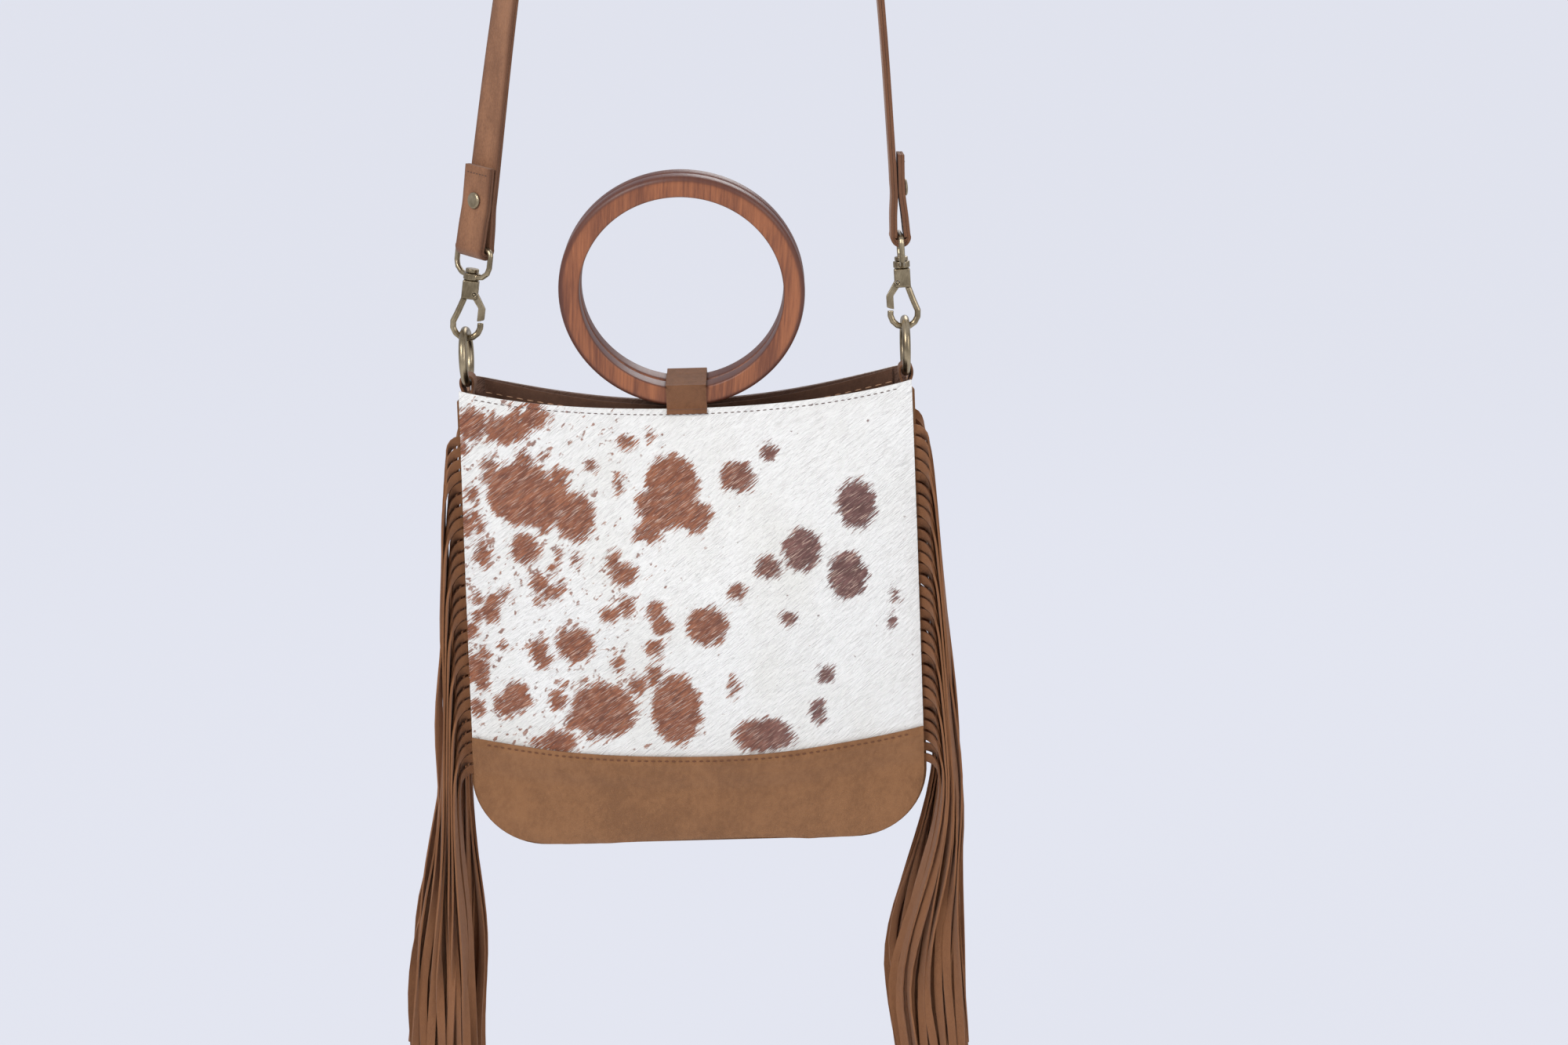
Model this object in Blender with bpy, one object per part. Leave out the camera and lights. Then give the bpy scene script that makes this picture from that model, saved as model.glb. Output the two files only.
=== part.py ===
"""Fringed suede bag that hangs by its cross-body strap.

Metres, +Z up, +X to the wearer's right as the front faces -Y. The origin is the
underside of the strap at its highest point, where it hangs on a peg.
"""
import math

import bmesh
import bpy
from mathutils import Matrix, Vector

MM = 0.001

# Clearances
TOUCH_GAP = 0.3 * MM          # between two pieces that lie face to face
RUNNING_GAP = 0.35 * MM       # round a piece that turns in another
SKIN_GAP = 0.8 * MM           # between a curved panel and the curved skin inside it

# Bag body
STRAP_DROP = 955 * MM         # from the hanging point down to the bag's base seam
BAG_HEIGHT = 297 * MM         # base seam to the mouth's corners
MOUTH_HALF_WIDTH = 139 * MM
BASE_HALF_WIDTH = 145 * MM
MOUTH_DEPTH = 52 * MM         # front to back at the mouth's corners
BASE_DEPTH = 68 * MM
CORNER_RADIUS = 46 * MM       # rounded lower corners of the panels
MOUTH_SAG = 17.5 * MM         # how far the mouth's edge dips under the handles
MOUTH_PINCH = 0.8             # how far the handles draw the two edges together
PINCH_START = 140 * MM        # height where the panels begin to draw in
PANEL_BULGE = 15 * MM         # how far a panel swells between its seams
BAND_HEIGHT = 62 * MM         # suede base band, at the middle
BAND_RISE = 12 * MM           # how much higher the band is at the side seams
BAND_OVERLAP = 9 * MM         # the band is sewn over the hide's lower edge
HIDE_THICKNESS = 2.2 * MM
SUEDE_THICKNESS = 1.6 * MM
GUSSET_THICKNESS = 2.0 * MM
BASE_SAG = 6 * MM             # how far the bottom strip hangs below the seams
GUSSET_TUCK = 1 * MM          # how far the gusset folds in at the mouth
GUSSET_DROP = 7 * MM          # the gusset's top edge below the mouth's corners
FACING_THICKNESS = 1.2 * MM
FACING_HEIGHT = 34 * MM
FACING_DROP = 2.5 * MM        # the facing's top edge below the mouth's edge
LINING_THICKNESS = 1.0 * MM
LINING_INSET = 9.5 * MM       # lining's side walls stand clear of the seam allowances

# Fringe
FRINGE_TOP = 266 * MM         # height of the topmost strand above the base seam
STRAND_COUNT = 30
STRAND_PITCH = 7.4 * MM
STRAND_WIDTH = 5.4 * MM
STRAND_LENGTH = 420 * MM
FRINGE_THICKNESS = 1.2 * MM
FRINGE_HEADER = 7 * MM        # width of the uncut edge that is caught in the seam
STRAND_ROWS = 4
STRAND_ROW_PITCH = 6.0 * MM
STRAND_LEAN = 4.2             # degrees off the vertical, over the strands below
STRAND_BEND = 8 * MM          # length over which a strand turns from out to down
# How far the top and the lowest strand of a side drift out below the bag
STRAND_DRIFTS = {-1: (19 * MM, -12 * MM), 1: (-10 * MM, -44 * MM)}

# Ring handles
RING_OUTER_RADIUS = 75 * MM
RING_INNER_RADIUS = 62 * MM
RING_THICKNESS = 11 * MM
RING_EDGE_ROUND = 1.6 * MM
RING_LEAN = 13.0              # degrees, tops towards the front
BACK_RING_EXTRA_LEAN = 1.5    # degrees, so the two rings meet at the top
BACK_RING_LIFT = 2 * MM
RING_STAND = 1.7 * MM         # the front ring's foot above the mouth's edge
TAB_WIDTH = 25 * MM
TAB_THICKNESS = 1.6 * MM
TAB_TAIL = 12 * MM            # length caught between the panel and its facing
TAB_FRONT_LAP = 2.5 * MM      # length that laps over the panel's outer face

# Side rings and their leather loops
O_RING_RADIUS = 16.5 * MM     # to the middle of the wire
O_RING_WIRE = 5.0 * MM
LOOP_WIDTH = 13 * MM
LOOP_THICKNESS = 1.6 * MM
LOOP_TAIL = 16 * MM

# Swivel clips
CLIP_TILT = {-1: 9.5, 1: 2.5}  # degrees towards the strap's middle, left and right
HOOK_WIRE = 4.0 * MM
HOOK_HEAD_WIDTH = 10 * MM
HOOK_HEAD_HEIGHT = 12 * MM
HOOK_HEAD_DEPTH = 6.6 * MM
HOOK_LENGTH = 39 * MM         # head's top to the lowest outside point
BIGHT_RADIUS = 8.6 * MM       # to the middle of the wire
GATE_THICKNESS = 3.0 * MM
GATE_WIDTH = 4.4 * MM
PIN_RADIUS = 0.9 * MM
POST_RADIUS = 2.2 * MM
POST_HEAD_RADIUS = 4.2 * MM
POST_HEAD_HEIGHT = 2.4 * MM
EYE_WIRE = 3.6 * MM
EYE_SIDE_ROOM = 1.8 * MM      # between the strap's edge and the bow's side
EYE_BOSS_HEIGHT = 4.0 * MM
EYE_BOSS_RADIUS = 5.2 * MM
EYE_HEIGHT = 18 * MM          # boss middle to the middle of the top bar

# Strap
STRAP_WIDTH = 22 * MM
STRAP_THICKNESS = 4.4 * MM
STRAP_FLAP = 50 * MM          # folded-back end, from the eye up
STRAP_ARCH_RADIUS = 52 * MM   # of the peg that it hangs over, to the strap's underside
STRAP_SLOPES = {-1: -0.20, 1: 0.08}  # sideways to down, where the strap leaves the arch
HANG_OFFSET = 34 * MM         # the hanging point to the right of the bag's middle
LEFT_STRAP_TURN = -40.0       # degrees, how far the left end has twisted to the front
RIVET_RADIUS = 5.2 * MM
RIVET_HEIGHT = 1.6 * MM
RIVET_UP = 33 * MM            # where the folded end's two layers close up, above the eye's bar

BAG_BASE = -STRAP_DROP


def clear_scene():
    for item in list(bpy.data.objects):
        bpy.data.objects.remove(item, do_unlink=True)


def make_material(name, color, roughness, metallic=0.0):
    material = bpy.data.materials.new(name)
    material.use_nodes = True
    shader = material.node_tree.nodes["Principled BSDF"]
    shader.inputs["Base Color"].default_value = (*color, 1.0)
    shader.inputs["Roughness"].default_value = roughness
    shader.inputs["Metallic"].default_value = metallic
    material.diffuse_color = (*color, 1.0)
    return material


def finish_object(name, mesh_builder, material, smooth_angle=40.0):
    """Turn a filled bmesh into a named object with its material."""
    bmesh.ops.remove_doubles(mesh_builder, verts=mesh_builder.verts, dist=1e-6)
    bmesh.ops.recalc_face_normals(mesh_builder, faces=mesh_builder.faces)
    mesh = bpy.data.meshes.new(name)
    mesh_builder.to_mesh(mesh)
    mesh_builder.free()
    mesh.shade_smooth()
    mesh.set_sharp_from_angle(angle=math.radians(smooth_angle))
    mesh.materials.append(material)
    item = bpy.data.objects.new(name, mesh)
    bpy.context.scene.collection.objects.link(item)
    return item


def add_thickness(item, thickness, offset):
    """Solidify a sheet: offset 1 grows along its normals, 0 both ways."""
    modifier = item.modifiers.new("thickness", "SOLIDIFY")
    modifier.thickness = thickness
    modifier.offset = offset
    modifier.use_even_offset = True
    return modifier


def add_boolean(item, operand, operation):
    operand.hide_render = True
    operand.display_type = "WIRE"
    modifier = item.modifiers.new(operation.lower(), "BOOLEAN")
    modifier.operation = operation
    modifier.object = operand
    modifier.solver = "EXACT"
    return modifier


def smooth_step(value):
    value = max(0.0, min(1.0, value))
    return value * value * (3 - 2 * value)


def grid_sheet(rows, closed_rows=False):
    """Quads over a grid of points; closed_rows joins each row's ends."""
    builder = bmesh.new()
    grid = [[builder.verts.new(point) for point in row] for row in rows]
    for low, high in zip(grid, grid[1:]):
        count = len(low)
        for column in range(count if closed_rows else count - 1):
            following = (column + 1) % count
            builder.faces.new((low[column], low[following], high[following], high[column]))
    return builder


def swept_solid(centres, sides, ups, profile, closed=False):
    """Carry a closed profile of (side, up) points along a path and cap its ends."""
    builder = bmesh.new()
    loops = []
    for centre, side, up in zip(centres, sides, ups):
        loops.append([builder.verts.new(centre + side * a + up * b) for a, b in profile])
    pairs = list(zip(loops, loops[1:]))
    if closed:
        pairs.append((loops[-1], loops[0]))
    count = len(profile)
    for first, second in pairs:
        for index in range(count):
            following = (index + 1) % count
            builder.faces.new((first[index], first[following], second[following], second[index]))
    if not closed:
        builder.faces.new(loops[0][::-1])
        builder.faces.new(loops[-1])
    return builder


def round_profile(radius, sides=8):
    turn = math.tau / sides
    return [(radius * math.cos(turn * i), radius * math.sin(turn * i)) for i in range(sides)]


def wire_along(points, radius, closed=False, sides=8):
    """A round wire along points in one plane, whose normal is +Y."""
    normal = Vector((0, 1, 0))
    count = len(points)
    side_vectors = []
    for index in range(count):
        before = points[index - 1] if closed or index > 0 else points[index]
        after = points[(index + 1) % count] if closed or index < count - 1 else points[index]
        side_vectors.append((after - before).normalized().cross(normal))
    return swept_solid(points, side_vectors, [normal] * count, round_profile(radius, sides), closed)


def half_width(height):
    """Half the panel's width at a height above the base seam."""
    share = height / BAG_HEIGHT
    width = BASE_HALF_WIDTH + (MOUTH_HALF_WIDTH - BASE_HALF_WIDTH) * share
    if height < CORNER_RADIUS:
        below = CORNER_RADIUS - max(height, 0.0)
        width += math.sqrt(max(CORNER_RADIUS ** 2 - below ** 2, 0.0)) - CORNER_RADIUS
    return width


def half_depth(height):
    """Half the distance between the front and back seams."""
    share = height / BAG_HEIGHT
    return (BASE_DEPTH + (MOUTH_DEPTH - BASE_DEPTH) * share) / 2


def panel_depth(across, height):
    """Distance of a panel's inner face from the middle plane; across runs -1 to 1."""
    middle = 1 - across ** 2
    pinch = MOUTH_PINCH * smooth_step((height - PINCH_START) / (BAG_HEIGHT - PINCH_START))
    swell = PANEL_BULGE * math.sin(math.pi * min(max(height / BAG_HEIGHT, 0), 1)) ** 0.7
    swell += 2 * MM
    return half_depth(height) * (1 - pinch * middle ** 2) + swell * middle


def mouth_height(across):
    return BAG_HEIGHT - MOUTH_SAG * (1 - across ** 2)


def band_height(across):
    return BAND_HEIGHT + BAND_RISE * across ** 2


def panel_point(across, height, outward, facing, inset=0.0):
    """A point on a panel; facing is -1 for the front and 1 for the back."""
    x = across * (half_width(height) - inset)
    depth = panel_depth(x / half_width(height), height) + outward
    return Vector((x, facing * depth, BAG_BASE + height))


def across_steps(count):
    """Positions across a panel, closer together towards the seams."""
    return [math.sin(math.pi / 2 * (2 * i / count - 1)) for i in range(count + 1)]


def hide_panel(name, facing, material):
    rows = []
    for share in (0, 0.15, 0.3, 0.45, 0.6, 0.71, 0.8, 0.87, 0.92, 0.96, 1):
        points = []
        for across in across_steps(14):
            low = band_height(across) - BAND_OVERLAP
            height = low + (mouth_height(across) - low) * share
            points.append(panel_point(across, height, 0.0, facing))
        rows.append(points)
    item = finish_object(name, grid_sheet(rows), material)
    add_thickness(item, HIDE_THICKNESS, 1.0 if faces_along(item, facing) else -1.0)
    return item


def faces_along(item, facing):
    """Whether a sheet's normals point to its facing side."""
    total = sum(polygon.normal.y * polygon.area for polygon in item.data.polygons)
    return total * facing > 0


def base_panel(name, facing, material):
    """Suede band: it laps over the hide above and closes the lower corners."""
    corner_heights = [CORNER_RADIUS * (1 - math.cos(math.radians(a))) for a in (0, 18, 36, 54, 72, 88)]
    rows = []
    for height in corner_heights:
        rows.append([panel_point(a, height, 0.0, facing) for a in across_steps(14)])
    lap = HIDE_THICKNESS + TOUCH_GAP
    drops = ((BAND_OVERLAP + 5 * MM, 0), (BAND_OVERLAP + 1 * MM, lap), (BAND_OVERLAP / 2, lap), (0, lap))
    for drop, outward in drops:
        rows.append([panel_point(a, band_height(a) - drop, outward, facing) for a in across_steps(14)])
    item = finish_object(name, grid_sheet(rows), material)
    add_thickness(item, SUEDE_THICKNESS, 1.0 if faces_along(item, facing) else -1.0)
    return item


def seam_outline():
    """Points down the left seam, under the base and up the right, as (x, height)."""
    heights = [BAG_HEIGHT - GUSSET_DROP] + [BAG_HEIGHT * share for share in (0.92, 0.86, 0.7, 0.5, 0.32)]
    left = [(-half_width(h), h) for h in heights]
    for angle in (90, 72, 54, 36, 18, 0):
        height = CORNER_RADIUS * (1 - math.cos(math.radians(angle)))
        left.append((-half_width(height), height))
    bottom = [(x * half_width(0.0), 0.0) for x in (-0.6, -0.2, 0.2, 0.6)]
    right = [(-x, h) for x, h in reversed(left)]
    return left + bottom + right


def gusset_strip(material):
    """Side and bottom strip between the seams: tucked in above, sagging below."""
    outline = [Vector((x, 0, h)) for x, h in seam_outline()]
    edge_gap = 2 * TOUCH_GAP + FRINGE_THICKNESS + 0.4 * MM
    stations = (-1.0, -0.86, -0.5, 0.0, 0.5, 0.86, 1.0)
    swell = (0.0, 0.06, 1.0, 1.0, 1.0, 0.06, 0.0)
    rows = []
    last = len(outline) - 1
    for index, point in enumerate(outline):
        before = outline[max(index - 1, 0)]
        after = outline[min(index + 1, last)]
        along = (after - before).normalized()
        outward = along.cross(Vector((0, 1, 0)))
        if outward.dot(point - Vector((0, 0, BAG_HEIGHT / 2))) < 0:
            outward.negate()
        height = point.z
        bottom_share = 1 - smooth_step(height / CORNER_RADIUS)
        top_share = smooth_step((height / BAG_HEIGHT - 0.5) / 0.5)
        offset = BASE_SAG * bottom_share - GUSSET_TUCK * (0.3 + 0.7 * top_share) * (1 - bottom_share)
        reach = half_depth(height) - edge_gap
        row = []
        for station, share in zip(stations, swell):
            place = point + outward * offset * share
            row.append(Vector((place.x, station * reach, BAG_BASE + place.z)))
        rows.append(row)
    item = finish_object("gusset", grid_sheet(rows), material)
    middle = item.data.polygons[len(item.data.polygons) // 2]
    add_thickness(item, GUSSET_THICKNESS, -1.0 if middle.normal.z < 0 else 1.0)
    return item


def facing_panel(name, facing, material):
    """Suede facing inside the mouth, with room for the handle tab's tail."""
    inset = FRINGE_HEADER + 2 * MM
    tail_edge = (TAB_WIDTH / 2 + 2 * MM) / (MOUTH_HALF_WIDTH - inset)
    columns = sorted(across_steps(14) + [-tail_edge, tail_edge])
    rows = []
    for share in (0.0, 0.35, 0.7, 1.0):
        row = []
        for across in columns:
            top = mouth_height(across) - FACING_DROP
            height = top - FACING_HEIGHT * (1 - share)
            x = across * (half_width(height) - inset)
            over_tail = 1 - smooth_step((abs(x) - TAB_WIDTH / 2 - 2.2 * MM) / (14 * MM))
            inward = SKIN_GAP + (TAB_THICKNESS + 1.6 * SKIN_GAP) * over_tail
            row.append(panel_point(across, height, -inward, facing, inset))
        rows.append(row)
    item = finish_object(name, grid_sheet(rows), material)
    add_thickness(item, FACING_THICKNESS, -1.0 if faces_along(item, facing) else 1.0)
    return item


def lining_bag(material):
    """Thin inner bag that hangs from the lower edge of the facings."""
    top = BAG_HEIGHT - MOUTH_SAG - FACING_HEIGHT - 3 * MM
    levels = [height * MM for height in (3.4, 9, 18, 32, 48, 87, 120, 154, 187, 212)] + [top]
    columns = across_steps(14)
    rows = []
    for height in levels:
        front = [panel_point(a, height, -SKIN_GAP, -1, LINING_INSET) for a in columns]
        back = [panel_point(a, height, -SKIN_GAP, 1, LINING_INSET) for a in reversed(columns)]
        rows.append(front + back)
    builder = grid_sheet(rows, closed_rows=True)
    bmesh.ops.remove_doubles(builder, verts=builder.verts, dist=1e-6)
    builder.verts.ensure_lookup_table()
    rim = [e for e in builder.edges if e.is_boundary and e.verts[0].co.z < BAG_BASE + 4 * MM]
    bmesh.ops.contextual_create(builder, geom=rim)
    item = finish_object("lining", builder, material)
    add_thickness(item, LINING_THICKNESS, -1.0)
    return item


def strand_stations(index, side):
    """Centre, width direction and root of one strand, as on the left front seam."""
    root_height = FRINGE_TOP - index * STRAND_PITCH
    comb_bottom = FRINGE_TOP - (STRAND_COUNT - 1) * STRAND_PITCH
    rank = index / (STRAND_COUNT - 1)
    top_drift, low_drift = STRAND_DRIFTS[side]
    spread = top_drift * (1 - rank) + low_drift * rank
    row_offset = (index % STRAND_ROWS - (STRAND_ROWS - 1) / 2) * STRAND_ROW_PITCH
    wanted = [length * MM for length in (0, 6, 14, 30, 110, 230)] + [STRAND_LENGTH]
    stations = []
    step_count = 420
    step = STRAND_LENGTH / step_count
    out, height = 0.0, root_height
    length = 0.0
    for count in range(step_count + 1):
        if length >= wanted[len(stations)] - step / 2:
            fall = (90 - STRAND_LEAN) * (1 - math.exp(-length / STRAND_BEND))
            below = smooth_step((comb_bottom - height) / (180 * MM))
            turn = math.radians(90 * smooth_step(length / (18 * MM)) - 72 * below)
            along = Vector((-math.cos(math.radians(fall)), 0, -math.sin(math.radians(fall))))
            upward = Vector((-along.z, 0, along.x)) * -1
            if upward.z < 0:
                upward.negate()
            width = upward * math.cos(turn) + Vector((0, 1, 0)) * math.sin(turn)
            centre = Vector((-out - spread * below, row_offset * smooth_step(length / (26 * MM)), height))
            stations.append((centre, width))
            if len(stations) == len(wanted):
                break
        fall = math.radians((90 - STRAND_LEAN) * (1 - math.exp(-length / STRAND_BEND)))
        out += step * math.cos(fall)
        height -= step * math.sin(fall)
        length += step
    return root_height, stations


def fringe_strip(name, side, facing, material):
    """One suede strip, cut into strands up to the edge that is caught in the seam."""
    builder = bmesh.new()

    def place(x_out, y_off, height, seam_height):
        """x_out grows outwards from the side seam, y_off towards the bag's middle."""
        x = side * (half_width(seam_height) + x_out)
        y = facing * (half_depth(seam_height) - TOUCH_GAP - FRINGE_THICKNESS / 2 - y_off)
        return builder.verts.new((x, y, BAG_BASE + height))

    previous = None
    for index in range(STRAND_COUNT):
        root, stations = strand_stations(index, side)
        strand = []
        for centre, width in stations:
            pair = []
            for sign in (1, -1):
                point = centre + width * (sign * STRAND_WIDTH / 2)
                pair.append(place(-point.x, -point.y, point.z, root))
            strand.append(pair)
        for first, second in zip(strand, strand[1:]):
            builder.faces.new((first[0], first[1], second[1], second[0]))
        inner = [place(-FRINGE_HEADER, 0.0, root + sign * STRAND_WIDTH / 2, root) for sign in (1, -1)]
        builder.faces.new((inner[0], inner[1], strand[0][1], strand[0][0]))
        if previous:
            builder.faces.new((previous[0], inner[0], strand[0][0], previous[1]))
        previous = (inner[1], strand[0][1])
    item = finish_object(name, builder, material)
    add_thickness(item, FRINGE_THICKNESS, 0.0)
    return item


def ring_place(facing):
    """Matrix from a ring's own frame (axis along Y, centre at 0) to the bag."""
    lean = RING_LEAN + (BACK_RING_EXTRA_LEAN if facing > 0 else 0.0)
    lift = BACK_RING_LIFT if facing > 0 else 0.0
    gap_between = 2 * TAB_THICKNESS + 4 * RUNNING_GAP
    bottom_y = facing * (RING_THICKNESS / 2 + gap_between / 2)
    bottom_z = BAG_BASE + mouth_height(0) + RING_STAND + lift
    turn = Matrix.Rotation(math.radians(lean), 4, "X")
    bottom = Vector((0, bottom_y, bottom_z))
    centre = bottom + turn @ Vector((0, 0, RING_OUTER_RADIUS))
    return Matrix.Translation(centre) @ turn


def handle_ring(name, facing, material):
    half = RING_THICKNESS / 2
    edge = RING_EDGE_ROUND
    inner, outer = RING_INNER_RADIUS, RING_OUTER_RADIUS
    profile = [
        (inner, -half + edge), (inner + edge, -half), (outer - edge, -half), (outer, -half + edge),
        (outer, half - edge), (outer - edge, half), (inner + edge, half), (inner, half - edge),
    ]
    builder = bmesh.new()
    loop = [builder.verts.new((radius, depth, 0)) for radius, depth in profile]
    edges = [builder.edges.new((loop[i], loop[(i + 1) % len(loop)])) for i in range(len(loop))]
    bmesh.ops.spin(
        builder, geom=edges + loop, cent=(0, 0, 0), axis=(0, 1, 0), dvec=(0, 0, 0),
        angle=math.tau, steps=36, use_merge=True, use_duplicate=False,
    )
    item = finish_object(name, builder, material)
    item.matrix_world = ring_place(facing)
    return item


def handle_tab(name, facing, material):
    """Leather tab folded round the ring's lowest stretch, over the panel's edge."""
    place = ring_place(facing)
    grow = RUNNING_GAP + TAB_THICKNESS / 2
    half = RING_THICKNESS / 2 + grow
    below = -RING_OUTER_RADIUS - RUNNING_GAP
    inner_at_edge = -math.sqrt(RING_INNER_RADIUS ** 2 - (TAB_WIDTH / 2) ** 2)
    above = inner_at_edge + grow
    corner = 1.2 * MM
    edge_height = mouth_height(0)

    def panel_side(outward, drop):
        height = edge_height - drop
        return Vector((0, facing * (panel_depth(0, height) + outward), BAG_BASE + height))

    inside = SKIN_GAP + TAB_THICKNESS / 2
    outside = HIDE_THICKNESS + SKIN_GAP + TAB_THICKNESS / 2
    inner_face, outer_face = -facing * half, facing * half
    path = [panel_side(-inside, TAB_TAIL), panel_side(-inside, TAB_TAIL / 2), panel_side(-inside, 0.0)]
    under = below - TAB_THICKNESS / 2
    path += [place @ Vector((0, inner_face + facing * 3.2 * MM, under - 0.3 * MM))]
    path += [place @ Vector((0, inner_face, below + 1.5 * MM))]
    path += [place @ Vector((0, inner_face, above - corner))]
    path += [place @ Vector((0, inner_face - math.copysign(corner, inner_face), above))]
    path += [place @ Vector((0, outer_face - math.copysign(corner, outer_face), above))]
    path += [place @ Vector((0, outer_face, above - corner))]
    path += [place @ Vector((0, outer_face, below + 3.5 * MM))]
    path += [panel_side(outside + 0.2 * MM, -0.8 * MM), panel_side(outside, TAB_FRONT_LAP)]
    rows = []
    for point in path:
        rows.append([point + Vector((x, 0, 0)) for x in (-TAB_WIDTH / 2, 0, TAB_WIDTH / 2)])
    item = finish_object(name, grid_sheet(rows), material, 60)
    add_thickness(item, TAB_THICKNESS, 0.0)
    return item


def o_ring_centre(side):
    x = side * (half_width(BAG_HEIGHT) - GUSSET_TUCK - GUSSET_THICKNESS / 2)
    z = BAG_BASE + BAG_HEIGHT - GUSSET_DROP + 7 * MM + O_RING_RADIUS
    return Vector((x, 0, z))


def o_ring(name, side, material):
    """Closed ring of round wire that stands across the gusset."""
    builder = bmesh.new()
    bmesh.ops.create_circle(
        builder, segments=8, radius=O_RING_WIRE / 2, matrix=Matrix.Translation((0, O_RING_RADIUS, 0))
    )
    geometry = list(builder.verts) + list(builder.edges)
    bmesh.ops.spin(
        builder, geom=geometry, cent=(0, 0, 0), axis=(1, 0, 0), dvec=(0, 0, 0),
        angle=math.tau, steps=20, use_merge=True, use_duplicate=False,
    )
    item = finish_object(name, builder, material)
    item.matrix_world = Matrix.Translation(o_ring_centre(side))
    return item


def ring_loop(name, side, material):
    """Leather loop round the side ring's foot; its legs clasp the gusset's top edge."""
    centre = o_ring_centre(side)
    bottom = centre + Vector((0, 0, -O_RING_RADIUS))
    rise = O_RING_RADIUS - math.sqrt(O_RING_RADIUS ** 2 - (LOOP_WIDTH / 2) ** 2)
    radius = O_RING_WIRE / 2 + 2 * RUNNING_GAP + LOOP_THICKNESS / 2
    hold = GUSSET_THICKNESS / 2 + TOUCH_GAP + LOOP_THICKNESS / 2
    lean = (half_width(BAG_HEIGHT * 0.93) - half_width(BAG_HEIGHT)) / (BAG_HEIGHT * 0.07)
    gusset_top = BAG_BASE + BAG_HEIGHT - GUSSET_DROP
    path = []
    for drop in (LOOP_TAIL, 1 * MM):
        path.append(Vector((bottom.x - side * hold + side * lean * drop, 0, gusset_top - drop)))
    for angle in (200, 150, 110, 70, 30, -20):
        turn = math.radians(angle)
        x = bottom.x + side * radius * math.cos(turn)
        lift = rise * (1 if math.sin(turn) > 0 else 0.3)
        path.append(Vector((x, 0, bottom.z + lift + radius * math.sin(turn))))
    for drop in (1 * MM, LOOP_TAIL):
        path.append(Vector((bottom.x + side * hold + side * lean * drop, 0, gusset_top - drop)))
    rows = []
    for point in path:
        rows.append([point + Vector((0, y, 0)) for y in (-LOOP_WIDTH / 2, 0, LOOP_WIDTH / 2)])
    item = finish_object(name, grid_sheet(rows), material, 60)
    add_thickness(item, LOOP_THICKNESS, 0.0)
    return item


def clip_frame(side):
    """Matrix of a clip: its origin is the head's top, +Z runs up the strap."""
    ring_top = o_ring_centre(side) + Vector((0, 0, O_RING_RADIUS - O_RING_WIRE / 2))
    tilt = Matrix.Rotation(math.radians(-side * CLIP_TILT[side]), 4, "Y")
    bight = Vector((0, 0, -(HOOK_LENGTH - HOOK_WIRE / 2)))
    lowest = ring_top + Vector((0, 0, -RUNNING_GAP - HOOK_WIRE / 2))
    origin = lowest - tilt @ bight
    return Matrix.Translation(origin) @ tilt


def hook_wire_points(side):
    """Spine, bight and nose of the hook, in the clip's frame."""
    low = -(HOOK_LENGTH - HOOK_WIRE / 2 - BIGHT_RADIUS)
    points = [Vector((side * 2.2 * MM, 0, -8 * MM)), Vector((side * 3.6 * MM, 0, -13 * MM))]
    points.append(Vector((side * 6.2 * MM, 0, -21 * MM)))
    for angle in (8, -18, -44, -70, -96, -122, -148, -174):
        turn = math.radians(angle)
        points.append(Vector((side * BIGHT_RADIUS * math.cos(turn), 0, low + BIGHT_RADIUS * math.sin(turn))))
    points.append(Vector((-side * BIGHT_RADIUS * 0.97, 0, low + 2.2 * MM)))
    return points


def gate_pivot(side):
    """Middle of the gate's pin, in the clip's frame."""
    return Vector((-side * 3.0 * MM, 0, -8.5 * MM))


def box_builder(low, high):
    builder = bmesh.new()
    size = high - low
    matrix = Matrix.Translation((low + high) / 2) @ Matrix.Diagonal((*size, 1))
    bmesh.ops.create_cube(builder, size=1.0, matrix=matrix)
    return builder


def cylinder_builder(radius, depth, centre, axis="Z", sides=16):
    builder = bmesh.new()
    turn = {"Z": Matrix.Identity(4), "Y": Matrix.Rotation(math.pi / 2, 4, "X")}[axis]
    bmesh.ops.create_cone(
        builder, cap_ends=True, segments=sides, radius1=radius, radius2=radius, depth=depth,
        matrix=Matrix.Translation(centre) @ turn,
    )
    return builder


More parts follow.
